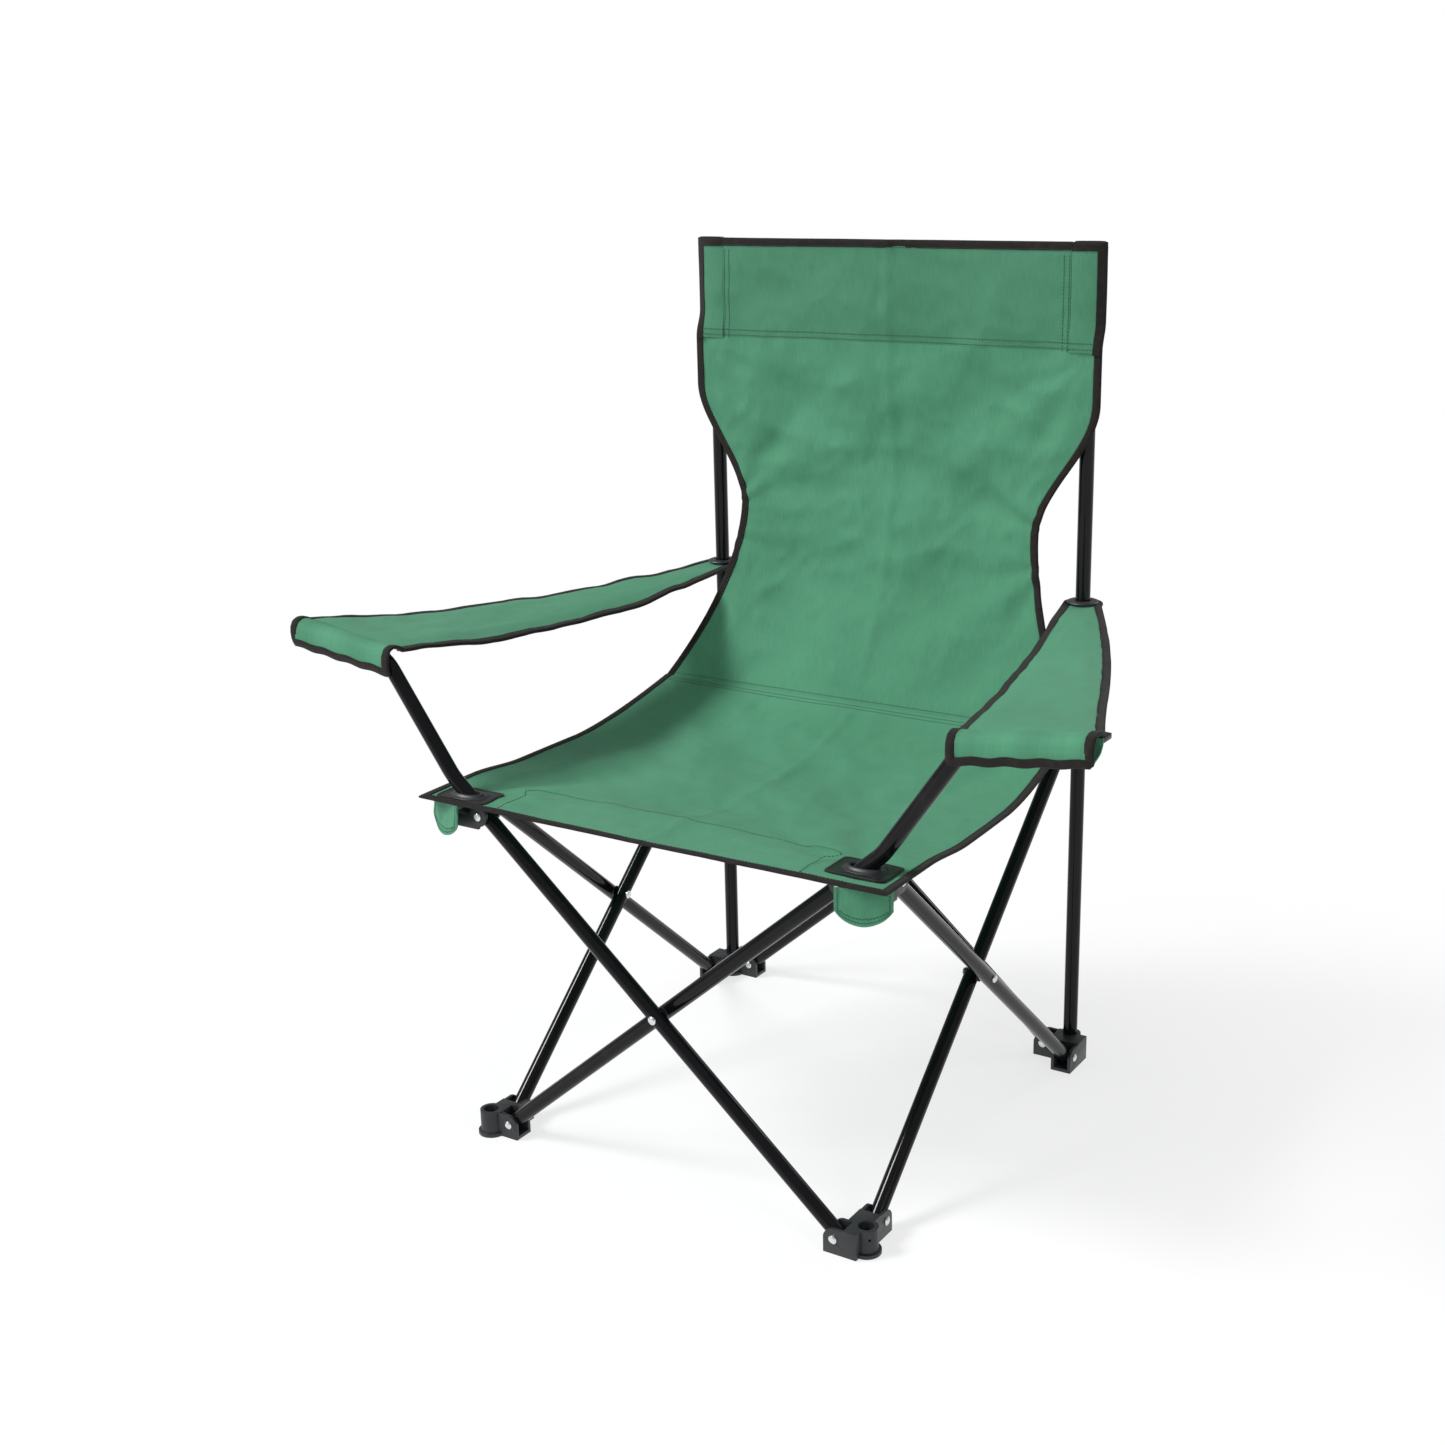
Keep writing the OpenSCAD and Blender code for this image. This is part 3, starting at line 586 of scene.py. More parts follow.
green, green_shader = new_material("green_polyester")
green_map = node(green, "ShaderNodeUVMap", uv_map="cloth").outputs[0]
green_place = place_of(green)
green_split = node(green, "ShaderNodeSeparateXYZ", Vector=green_map)
thread_pitch = 0.00062
warp, weft = (math_node(green, "SINE", math_node(green, "MULTIPLY", green_split.outputs[axis],
                                                 2 * math.pi / thread_pitch)) for axis in ("X", "Y"))
weave = math_node(green, "MULTIPLY", warp, weft)
slubs = node(green, "ShaderNodeTexNoise", Vector=node(green, "ShaderNodeMapping", Vector=green_map,
                                                      Scale=(900.0, 60.0, 1.0)).outputs[0],
             Scale=1.0, Detail=3.0).outputs["Fac"]
fade = speckle(green, green_place, 5.0, 4.0, Roughness=0.55)
creases = node(green, "ShaderNodeTexNoise", Vector=node(green, "ShaderNodeMapping", Vector=green_place,
                                                        Rotation=(0.4, 0.7, 0.3)).outputs[0],
               noise_type="RIDGED_MULTIFRACTAL", Scale=9.0, Detail=2.5, Roughness=0.5, Lacunarity=2.1,
               Distortion=0.35).outputs["Fac"]
crinkles = speckle(green, green_place, 70.0, 4.0, Roughness=0.6, Distortion=0.5)
worn = grey_ramp(green, creases, [(0.45, 0.0), (0.95, 1.0)])
green_tone = ramp(green, fade, [(0.25, (0.070, 0.262, 0.148)), (0.55, (0.082, 0.290, 0.168)),
                                (0.8, (0.094, 0.318, 0.188))])
green_mix = node(green, "ShaderNodeMix", data_type="RGBA", blend_type="SCREEN")
green_mix.inputs[7].default_value = (0.75, 0.95, 0.85, 1)
green_thread = node(green, "ShaderNodeMix", data_type="RGBA", blend_type="MULTIPLY")
green_thread.inputs[0].default_value = 1.0
green_weave = math_node(green, "MULTIPLY_ADD", weave, 0.3, slubs)
green_threads = grey_ramp(green, green_weave, [(0.2, 0.80), (0.8, 1.08)])
wire(green.node_tree, ((math_node(green, "MULTIPLY", worn, 0.05), green_mix.inputs[0]),
                       (green_tone, green_mix.inputs[6]), (green_mix.outputs[2], green_thread.inputs[6]),
                       (green_threads, green_thread.inputs[7])))
link(green, green_thread.outputs[2], green_shader, "Base Color")
link(green, grey_ramp(green, slubs, [(0.3, 0.56), (0.7, 0.72)]), green_shader, "Roughness")
crease_relief = bump(green, crinkles, 0.0011, 0.35, bump(green, creases, 0.0048, 0.7))
link(green, bump(green, weave, 0.00012, 0.6, crease_relief), green_shader, "Normal")
dress(green_shader, Specular_IOR_Level=0.18, Sheen_Weight=0.10, Sheen_Roughness=0.45,
      Sheen_Tint=(0.8, 1.0, 0.9, 1))

# A copy of the green cloth with its colours darkened to 0.84. It is painted shade for the head panel, its
# rear layer and its pockets, which get less light than the seat and back because the panel is doubled and
# stands upright.
head_green_painted_shade = green.copy()
head_green_painted_shade.name = "green_polyester_painted_shade"
for stop in head_green_painted_shade.node_tree.nodes[green_tone.node.name].color_ramp.elements:
    stop.color = tuple(0.84 * value for value in stop.color[:3]) + (1,)

folded_share = 0.2951
leaf_hinge = 0.201
seat_share = 0.18
sides = np.linspace(-1, 1, 111)
seat_splits = [front_edge + 0.0008, front_low.y, leaf_low.y, seam_y]
leaf_bodies = ["left_bracket", "seat_front", "seat_rear"]
leaf_nodes = ["seat_front_hem", "seat_front_leaf", "seat_rear_leaf"]
leaf_names = ["seat_hem_cloth", "seat_front_cloth", "seat_rear_cloth"]
leaf_anchors = [(-half_gauge, 0, 0), (-leaf_hinge, 0, 0), (-leaf_hinge, 0, 0)]
leaf_shares = [folded_share, seat_share, seat_share]
seat_pieces = {}
seat_grids = []
for k in range(3):
    rows_here = max(4, round((seat_splits[k + 1] - seat_splits[k]) / 0.005))
    points, measures = grid(sides, np.linspace(seat_splits[k], seat_splits[k + 1], rows_here + 1), seat_point)
    measures[:, :, 1] += seat_splits[k] - front_edge
    seat_grids.append(points)
    seat_pieces[leaf_bodies[k]] = [cloth_shell(leaf_names[k], points, measures, green)]

back_rows = np.linspace(seam_z - 0.001, head_seam, 101)
head_side = (pocket_seam - 0.0002) / shoulder
back_grid, back_measures = grid(sides, back_rows, back_point)
head_sides = np.linspace(-head_side, head_side, 111)
head_grid, head_measures = grid(head_sides, np.linspace(head_seam, head_end, 27), back_point)
back_measures[:, :, 1] += 0.5
head_measures[:, :, 1] += back_measures[-1, 0, 1]
back_piece = cloth_shell("back_front_cloth", back_grid, back_measures, green)
head_piece = cloth_shell("head_front_cloth", head_grid, head_measures, head_green_painted_shade)

for body, node_name, anchor, share, leaf_grid in zip(
        leaf_bodies, leaf_nodes, leaf_anchors, leaf_shares, seat_grids):
    leaf = seat_pieces[body][0]
    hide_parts(node_name)
    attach(leaf, body)
    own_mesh(leaf)
for panel, panel_grid in ((back_piece, back_grid), (head_piece, head_grid)):
    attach(panel, "left_post")
    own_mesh(panel)
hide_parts("back_cloth")


# ---- Head pockets and rear layer ----
# The head panel is double. Its two layers are sewn together beside each post, which leaves a closed
# pocket that drops over the post's top.
stretch_rows = np.linspace(head_seam + 0.0004, head_end, 27)


def rear_point(side, z):
    """A point of the head panel's rear layer."""
    front = back_point(side, z)
    t = (z - head_seam) / (head_top - head_seam)
    pinch = math.exp(-((abs(front.x) - pocket_seam) / 0.012) ** 2)
    gap = 0.0016 + 0.0065 * math.sin(math.pi * min(max(t, 0), 1)) * (1 - pinch)
    return Vector((front.x, front.y + gap + 0.0012 * crumple(front.x, z, 5.0) * (1 - pinch), z))


rear_grid, rear_measures = grid(head_sides, stretch_rows, rear_point)
rear_piece = cloth_shell("head_rear_cloth", rear_grid, rear_measures, head_green_painted_shade)
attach(rear_piece, "left_post")
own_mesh(rear_piece)
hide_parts("head_panel")


def pocket_point(hand, around, z):
    """Round the pocket from its front seam, past the outer edge, to its rear seam."""
    set_in = min(z, head_end)
    seam = back_point(hand * (pocket_seam + 0.0003) / shoulder, set_in)
    free = ease((z - head_seam) / 0.030)
    outer_y = back_point(hand, head_seam).y * (1 - free) + (rear_plane - 0.0060) * free
    lid = 1 - 0.93 * ease((z - head_top + 0.0015) / 0.004) ** 2
    t = 1 - abs(1 - around * 2)
    belly = math.sin(math.pi * t) ** 0.8
    if around < 0.5:
        y = (1 - t) * seam.y + t * outer_y - lid * free * 0.0027 * belly - 0.0012 * (1 - free)
    else:
        y = (1 - t) * (seam.y + 0.0022) + t * outer_y + lid * (0.0235 - 0.0050 * free) * belly
    x = pocket_seam + 0.0003 + (shoulder - 0.0008 - pocket_seam) * t
    return Vector((hand * x, y + 0.0006 * crumple(x, z, 21.0 + hand), z))


post_sides = ((-1, "left_post", "left"), (1, "right_post", "right"))
pocket_lid = head_top + np.array([0.0002, 0.0014, 0.0022])
pocket_rows = np.concatenate([np.linspace(head_seam - 0.0010, head_top - 0.0012, 25), pocket_lid])
turns = np.linspace(0, 1, 45)
for hand, post_body, side_name in post_sides:
    pocket_grid, pocket_measures = grid(turns if hand > 0 else turns[::-1], pocket_rows,
                                        lambda a, z: pocket_point(hand, a, z))
    run = np.cumsum(np.linalg.norm(np.diff(pocket_grid[0], axis=0), axis=1))
    pocket_measures[:, 1:, 0] = run
    pocket = cloth_shell("head_pocket_cloth_" + side_name, pocket_grid, pocket_measures, head_green_painted_shade)
    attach(pocket, post_body)
    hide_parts("head_pocket_" + side_name)


# ---- Edge binding ----
# Every raw edge is wrapped in a folded ribbon of dark brown-black polyester tape, 8 mm wide on each
# face, which thickens the edge and follows its waves.
binding, binding_shader = new_material("dark_binding_tape")
tape_map = node(binding, "ShaderNodeUVMap", uv_map="tape").outputs[0]
tape_split = node(binding, "ShaderNodeSeparateXYZ", Vector=tape_map)
twill_place = math_node(binding, "MULTIPLY_ADD", tape_split.outputs["Y"], 0.8, tape_split.outputs["X"])
twill = math_node(binding, "SINE", math_node(binding, "MULTIPLY", twill_place, 6600.0))
tape_place = place_of(binding)
tape_fluff = speckle(binding, tape_place, 160.0, 3.0)
tape_tone = math_node(binding, "MULTIPLY_ADD", twill, 0.14, tape_fluff)
tape_colours = [(0.2, (0.006, 0.005, 0.004)), (0.6, (0.015, 0.012, 0.011)), (0.9, (0.034, 0.027, 0.025))]
link(binding, ramp(binding, tape_tone, tape_colours), binding_shader, "Base Color")
link(binding, grey_ramp(binding, tape_fluff, [(0.3, 0.62), (0.8, 0.85)]), binding_shader, "Roughness")
relief(binding, binding_shader, (twill, 0.00018, 0.7), (tape_fluff, 0.0006, 0.4))
dress(binding_shader, Sheen_Weight=0.05, Specular_IOR_Level=0.2, Sheen_Roughness=0.5)


def tape(name, edge, inward, normal, depth=0.0078, swell=1.0):
    """A folded ribbon along an edge, from the edge's points and its inward and outward-facing directions."""
    section = [(depth, 0.00085), (depth - 0.0004, 0.0013), (depth * 0.5, 0.00155), (0.0006, 0.0015),
               (-0.0010, 0.0010), (-0.0014, 0.0), (-0.0010, -0.0010), (0.0006, -0.0015),
               (depth * 0.5, -0.00155), (depth - 0.0004, -0.0013), (depth, -0.00085)]
    edge = np.array(edge, float)
    inward = np.array(inward, float)
    normal = np.array(normal, float)
    inward /= np.linalg.norm(inward, axis=1, keepdims=True)
    normal -= inward * (normal * inward).sum(axis=1, keepdims=True)
    normal /= np.linalg.norm(normal, axis=1, keepdims=True)
    run = np.concatenate([[0], np.cumsum(np.linalg.norm(np.diff(edge, axis=0), axis=1))])
    wave = np.array([1 + 0.06 * noise.noise(Vector((r * 60, 3.1, 0))) for r in run])
    rings = [edge + inward * (a * (wave[:, None] if a > 0.001 else 1)) + normal * b * swell
             for a, b in section]
    return loft(name, np.stack(rings, axis=1), binding, 55, closed=False,
                measures=(run, np.linspace(0, 2.2 * depth, len(section))))


def grid_edge(points, where):
    """Edge points, inward directions and normals of one side of a grid."""
    normal = surface_normals(points)
    lines = {"left": (points[:, 0], points[:, 1] - points[:, 0], normal[:, 0]),
             "right": (points[:, -1], points[:, -2] - points[:, -1], normal[:, -1]),
             "start": (points[0], points[1] - points[0], normal[0]),
             "end": (points[-1], points[-2] - points[-1], normal[-1])}
    return lines[where]


def joined(*parts):
    """Several edges end to end; where two meet at a corner, both directions share it."""
    edge, inward, normal = [], [], []
    for points, ways, normals in parts:
        ways = ways / np.linalg.norm(ways, axis=1, keepdims=True)
        if edge:
            mixed = inward[-1] + ways[0]
            inward[-1] = mixed / np.linalg.norm(mixed)
            points, ways, normals = points[1:], ways[1:], normals[1:]
        edge.extend(points)
        inward.extend(ways)
        normal.extend(normals)
    return np.array(edge), np.array(inward), np.array(normal)


def turned(edge):
    """The same edge, run the other way."""
    return tuple(part[::-1] for part in edge)


hem_grid = seat_grids[0]
hem_path = joined(turned(grid_edge(hem_grid, "left")), grid_edge(hem_grid, "start"),
                  grid_edge(hem_grid, "right"))
seat_pieces["left_bracket"].append(tape("seat_hem_binding", *hem_path))
for k in (1, 2):
    for where in ("left", "right"):
        seat_pieces[leaf_bodies[k]].append(tape(leaf_names[k].replace("cloth", "binding_") + where,
                                                *grid_edge(seat_grids[k], where)))
back_trim = [tape("back_binding_" + where, *grid_edge(back_grid, where)) for where in ("left", "right")]
top_edge, top_in, top_out = grid_edge(head_grid, "end")
top_edge = top_edge + np.array([0, 0.0012, 0.0045])
back_trim.append(tape("head_binding_top", top_edge, top_in, top_out, swell=1.75))
side_rows = np.linspace(head_seam - 0.0030, head_top - 0.002, 25)
top_rows = np.concatenate([np.linspace(head_top - 0.0065, head_top - 0.0012, 6), pocket_lid])
for hand, post_body, side_name in post_sides:
    for part, reach, rows in (("side", (0.385, 0.615), side_rows), ("top", (0.0, 1.0), top_rows)):
        turns = np.linspace(*reach, 31)
        strip, strip_measures = grid(turns if hand > 0 else turns[::-1], rows,
                                     lambda a, z: pocket_point(hand, a, z))
        facing = surface_normals(strip)
        if facing[2, 5 if hand > 0 else -6].dot((0, -1, 0)) < 0:
            facing = -facing
        trim = cloth_shell("head_pocket_binding_%s_%s" % (part, side_name), strip + facing * 0.0009,
                           strip_measures, binding, thick=cloth_thick)
        trim.data.uv_layers[0].name = "tape"
        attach(trim, post_body)
for body, anchor, share in zip(leaf_bodies, leaf_anchors, leaf_shares):
    for trim in seat_pieces[body][1:]:
        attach(trim, body)
        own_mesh(trim)
for trim in back_trim:
    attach(trim, "left_post")
    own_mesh(trim)


# ---- Stitching ----
# Lockstitch in thread of the cloth's own colour, or black on the tape and patches, about 2.9 mm long.
# It closes the seams, holds the doubled hem and head panel and fastens the binding.
def thread_material(name, dark, light, roughness):
    """Twisted thread, between two colours."""
    made, shader = new_material(name)
    where = place_of(made)
    tone = speckle(made, where, 900.0, 2.0)
    twist = node(made, "ShaderNodeTexWave", Vector=where, Scale=500.0, Distortion=2.0).outputs["Fac"]
    surface(made, shader, tone, [(0.3, dark), (0.75, light)],
            [(0.3, roughness - 0.1), (0.8, roughness + 0.1)])
    link(made, bump(made, twist, 0.00012, 0.6), shader, "Normal")
    return made


green_cord = thread_material("green_thread", (0.012, 0.060, 0.032), (0.035, 0.130, 0.072), 0.6)
black_cord = thread_material("black_thread", (0.014, 0.012, 0.011), (0.060, 0.054, 0.050), 0.6)


def stitch_tree():
    """Geometry nodes that lay stitches along the edges of a mesh."""
    tree = bpy.data.node_groups.new("stitches", "GeometryNodeTree")
    face = tree.interface
    face.new_socket("Seams", in_out="INPUT", socket_type="NodeSocketGeometry")
    settings = [face.new_socket(name, in_out="INPUT", socket_type="NodeSocket" + kind)
                for name, kind in (("Stitch pitch", "Float"), ("Stitch length", "Float"),
                                   ("Thread radius", "Float"), ("Thread", "Material"))]
    face.new_socket("Stitches", in_out="OUTPUT", socket_type="NodeSocketGeometry")
    entry = tree.nodes.new("NodeGroupInput")
    leave = tree.nodes.new("NodeGroupOutput")
    curve = tree.nodes.new("GeometryNodeMeshToCurve")
    holes = tree.nodes.new("GeometryNodeCurveToPoints")
    holes.mode = "LENGTH"
    bead = tree.nodes.new("GeometryNodeMeshUVSphere")
    bead.inputs["Segments"].default_value = 6
    bead.inputs["Rings"].default_value = 4
    bead.inputs["Radius"].default_value = 1.0
    size = tree.nodes.new("ShaderNodeCombineXYZ")
    half = tree.nodes.new("ShaderNodeMath")
    half.operation = "MULTIPLY"
    half.inputs[1].default_value = 0.5
    sew = tree.nodes.new("GeometryNodeInstanceOnPoints")
    real = tree.nodes.new("GeometryNodeRealizeInstances")
    dye = tree.nodes.new("GeometryNodeSetMaterial")
    wire(tree, (
        (entry.outputs["Seams"], curve.inputs[0]), (curve.outputs[0], holes.inputs["Curve"]),
        (entry.outputs["Stitch pitch"], holes.inputs["Length"]),
        (holes.outputs["Points"], sew.inputs["Points"]),
        (holes.outputs["Rotation"], sew.inputs["Rotation"]), (bead.outputs["Mesh"], sew.inputs["Instance"]),
        (entry.outputs["Stitch length"], half.inputs[0]), (entry.outputs["Thread radius"], size.inputs["X"]),
        (entry.outputs["Thread radius"], size.inputs["Y"]), (half.outputs[0], size.inputs["Z"]),
        (size.outputs[0], sew.inputs["Scale"]), (sew.outputs[0], real.inputs[0]),
        (real.outputs[0], dye.inputs["Geometry"]), (entry.outputs["Thread"], dye.inputs["Material"]),
        (dye.outputs[0], leave.inputs[0])))
    return tree, [s.identifier for s in settings]


seam_tree, seam_inputs = stitch_tree()


def stitches(name, seams, thread, pitch=0.0038, length=0.0029, girth=0.00048):
    """Stitches along some lines of points, as one mesh."""
    lines = bpy.data.meshes.new(name)
    corners, edges = [], []
    for seam in seams:
        edges += [(len(corners) + k, len(corners) + k + 1) for k in range(len(seam) - 1)]
        corners += [tuple(p) for p in seam]
    lines.from_pydata(corners, edges, [])
    guide = bpy.data.objects.new(name + "_guide", lines)
    bpy.context.scene.collection.objects.link(guide)
    work = guide.modifiers.new("stitches", "NODES")
    work.node_group = seam_tree
    for key, value in zip(seam_inputs, (pitch, length, girth, thread)):
        work[key] = value
    done = finished_mesh(guide)
    bpy.data.objects.remove(guide)
    done.shade_smooth()
    return add_piece(name, done, thread)


def on_seat(x, y, lift=0.0008):
    """A stitch hole on the seat."""
    return seat_point(x / seat_edge(y), y) + Vector((0, 0, lift))


def on_back(x, z, lift=0.0008):
    """A stitch hole on the front of the back."""
    return back_point(x / back_edge(z), z) - Vector((0, lift, 0))


def tape_seams(edge, inward, normal, depth=0.0066, lift=0.00155, faces=(1, -1)):
    """The rows of stitches that hold a binding, on each face."""
    inward = inward / np.linalg.norm(inward, axis=1, keepdims=True)
    return [list(edge + inward * depth + normal * lift * face) for face in faces]


hem_line = front_edge + 0.088
hem_run = [on_seat(-0.178, front_edge + 0.012 + 0.004 * k) for k in range(12)]
hem_run += [on_seat(-0.178 - 0.012 * math.sin(math.pi * k) + 0.028 * k ** 3, front_edge + 0.058 + 0.030 * k)
            for k in np.linspace(0, 1, 9)[1:]]
hem_run += [on_seat(x, hem_line - 0.0003) for x in np.linspace(-0.14, 0.14, 60)]
hem_run += [Vector((-p.x, p.y, p.z)) for p in hem_run[19::-1]]
front_run = [p for p in hem_run if p.y > front_low.y]
hem_ends = [[p for p in half_run if p.y <= front_low.y] for half_run in (hem_run[:40], hem_run[60:])]
hem_lines = {"left_bracket": hem_ends, "seat_front": [front_run]}
seam_rows = [seam_y - 0.0045, seam_y - 0.0095]
rear_lines = [[on_seat(x, y) for x in np.linspace(-0.252, 0.252, 101)] for y in seam_rows]
for body, anchor, share in zip(leaf_bodies, leaf_anchors, leaf_shares):
    greens = hem_lines.get(body, rear_lines)
    k = leaf_bodies.index(body)
    blacks = tape_seams(*hem_path) if k == 0 else [
        line for where in ("left", "right") for line in tape_seams(*grid_edge(seat_grids[k], where))]
    for kind, lines, thread in (("green", greens, green_cord), ("black", blacks, black_cord)):
        row = stitches(leaf_names[k].replace("cloth", kind + "_stitches"), lines, thread)
        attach(row, body)
        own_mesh(row)
post_line = pocket_seam - 0.0018
seam_ups = (0.0025, 0.0085)
seam_spots = np.linspace(-post_line, post_line, 91)
post_rows = np.linspace(head_seam + 0.001, head_top - 0.012, 24)
back_lines = [[on_back(x, seam_z + 0.0045) for x in np.linspace(-0.249, 0.249, 101)]]
back_lines += [[on_back(x, head_seam + up) for x in seam_spots] for up in seam_ups]
back_lines += [[on_back(hand * (post_line - inset), z) for z in post_rows]
               for hand in (-1, 1) for inset in (0.0, 0.006)]
back_lines += [[rear_point(x / back_edge(head_seam + 0.01), head_seam + up) + Vector((0, 0.0007, 0))
                for x in seam_spots] for up in seam_ups]
back_blacks = [line for where in ("left", "right") for line in tape_seams(*grid_edge(back_grid, where))]
back_blacks += tape_seams(top_edge, top_in, top_out, lift=0.0027)
for row in (stitches("back_green_stitches", back_lines, green_cord),
            stitches("back_black_stitches", back_blacks, black_cord)):
    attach(row, "left_post")
    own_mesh(row)
for hand, post_body, side_name in post_sides:
    pocket_lines = [[pocket_point(hand, a, head_seam + up) - Vector((0, 0.0009, 0))
                     for a in np.linspace(0.01, 0.40, 16)] for up in seam_ups]
    row = stitches("head_pocket_stitches_" + side_name, pocket_lines, green_cord)
    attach(row, post_body)


# ---- Rear seat straps ----
# Two 22 mm black webbing straps hold the seat's rear corners up to the ears of the sliders.
webbing, webbing_shader = new_material("black_webbing")
web_place = place_of(webbing)
web_ribs = node(webbing, "ShaderNodeTexWave", Vector=web_place, bands_direction="Y", Scale=150.0,
                Distortion=1.2, Detail=1.0).outputs["Fac"]
web_fluff = speckle(webbing, web_place, 260.0, 3.0)
web_tone = math_node(webbing, "MULTIPLY_ADD", web_ribs, 0.3, web_fluff)
web_colours = [(0.3, (0.008, 0.007, 0.007)), (0.9, (0.040, 0.036, 0.034))]
link(webbing, ramp(webbing, web_tone, web_colours), webbing_shader, "Base Color")
link(webbing, grey_ramp(webbing, web_fluff, [(0.3, 0.6), (0.8, 0.85)]), webbing_shader, "Roughness")
relief(webbing, webbing_shader, (web_ribs, 0.0004, 0.7), (web_fluff, 0.0003, 0.5))
web_width = 0.022
for hand, side_name in sides_of_chair:
    low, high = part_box("seat_strap_" + side_name)
    near_x = min(abs(low.x), abs(high.x))
    ear_start = high.y - web_width
    tuck_y = seam_y - 0.024
    rows = []
    for y in np.concatenate([np.linspace(tuck_y, low.y, 10)[:-1], np.linspace(low.y, high.y, 30)]):
        shift = 0.012 * (1 - ease((y - low.y) / (ear_start - low.y)))
        row = []
        for a in np.linspace(0, 1, 9):
            x = near_x - shift + web_width * a
            if y < low.y:
                z = seat_point(min(x / seat_edge(y), 1) * hand, y).z - 0.0026
            else:
                start = seat_point(min(x / seat_edge(seam_y), 1) * hand, seam_y).z - 0.0026
                t = min((y - low.y) / (ear_start - low.y), 1)
                z = start + (low.z + 0.0009 - start) * ease(t) - 0.0022 * math.sin(math.pi * t)
            row.append((hand * x, y, z + 0.0005 * math.sin(math.pi * a)))
        rows.append(row)
    strap_points = np.array(rows)
    if hand < 0:
        strap_points = strap_points[:, ::-1]
    strap = cloth_shell("seat_strap_webbing_" + side_name, strap_points, strap_points[:, :, :2].copy(),
                        webbing, thick=0.0016)
    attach(strap, "seat_rear")
    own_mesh(strap)
    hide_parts("seat_strap_" + side_name)


# ---- Corner patches and eyelets ----
# A black vinyl patch strengthens the seat where each arm tube comes up through it, and an oval
# moulded eyelet with a raised lip lines the hole.
vinyl, vinyl_shader = new_material("black_vinyl")
vinyl_place = place_of(vinyl)
vinyl_cells = node(vinyl, "ShaderNodeTexVoronoi", Vector=vinyl_place, Scale=900.0).outputs["Distance"]
vinyl_tone = speckle(vinyl, vinyl_place, 70.0, 3.0)
surface(vinyl, vinyl_shader, vinyl_tone,
        [(0.3, (0.007, 0.007, 0.008)), (0.8, (0.020, 0.020, 0.021))],
        [(0.3, 0.36), (0.8, 0.55)])
relief(vinyl, vinyl_shader, (vinyl_cells, 0.00012, 0.6), (vinyl_tone, 0.0012, 0.4))
corner_power = 11
for side_name, bracket, arm in (("left", "left_bracket", "left_arm"),
                                ("right", "right_bracket", "right_arm")):
    low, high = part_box("corner_patch_" + side_name)
    ring_low, ring_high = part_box("eyelet_" + side_name)
    middle = (low + high) / 2
    half_x, half_y = (high.x - low.x) / 2, (high.y - low.y) / 2
    hole_x, hole_y = (ring_high.x - ring_low.x) / 2 - 0.0030, (ring_high.y - ring_low.y) / 2 - 0.0030

    def on_patch(turn, out, lift):
        """A point of the patch: out runs from 0 at the hole to 1 at the rim."""
        ca, sa = math.cos(turn), math.sin(turn)
        deep = half_y if sa > 0 else min(half_y, middle.y - front_edge - 0.0092)
        square = 1 / (abs(ca / half_x) ** corner_power + abs(sa / deep) ** corner_power) ** (1 / corner_power)
        oval = 1 / math.hypot(ca / hole_x, sa / hole_y)
        reach = oval + (square - oval) * out
        x, y = middle.x + ca * reach, middle.y + sa * reach
        rest = max(seat_point(min(max(x / seat_edge(y), -1), 1), y).z + 0.0012, low.z - 0.0006)
        return Vector((x, y, rest + lift + 0.0005 * noise.noise(Vector((x * 60, y * 60, 2)))))

    turns = np.linspace(0, 2 * math.pi, 97)[:-1]
    patch_points = np.array([[on_patch(t, out, 0.0) for t in turns] for out in np.linspace(1, 0, 9)])
    patch = cloth_shell("corner_patch_vinyl_" + side_name, patch_points, patch_points[:, :, :2].copy(), vinyl,
                        thick=0.0011, ring=True)
    patch_run = [on_patch(t, 0.88, 0.0007) for t in np.linspace(0, 2 * math.pi, 97)]
    inner_run = [on_patch(t, 0.30, 0.0007) for t in np.linspace(0, 2 * math.pi, 97)]
    sewn = stitches("corner_patch_stitches_" + side_name, [patch_run, inner_run], black_cord, pitch=0.003)
    for piece in (patch, sewn):
        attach(piece, bracket)
    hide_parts("corner_patch_" + side_name)
    lip = [(-0.0040, -0.0022), (-0.0046, 0.0004), (-0.0044, 0.0022), (-0.0034, 0.0034),
           (-0.0020, 0.0035), (-0.0008, 0.0026), (0.0, 0.0012), (0.0014, 0.0007),
           (0.0030, 0.0004), (0.0034, 0.0), (0.0030, -0.0004), (-0.0020, -0.0006)]
    base_z = on_patch(0, 0.15, 0.0).z + 0.0008
    rim_x, rim_y = (ring_high.x - ring_low.x) / 2 - 0.0022, (ring_high.y - ring_low.y) / 2 - 0.0016
    rim_points = []
    for t in np.linspace(0, 2 * math.pi, 65)[:-1]:
        out = Vector((math.cos(t) / rim_x, math.sin(t) / rim_y, 0)).normalized()
        spot = Vector((middle.x + rim_x * math.cos(t), middle.y + rim_y * math.sin(t), base_z))
        rim_points.append([spot + out * a + Vector((0, 0, b)) for a, b in lip])
    rim = loft("eyelet_moulding_" + side_name, rim_points, nylon, 50)
    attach(rim, arm)
    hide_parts("eyelet_" + side_name)


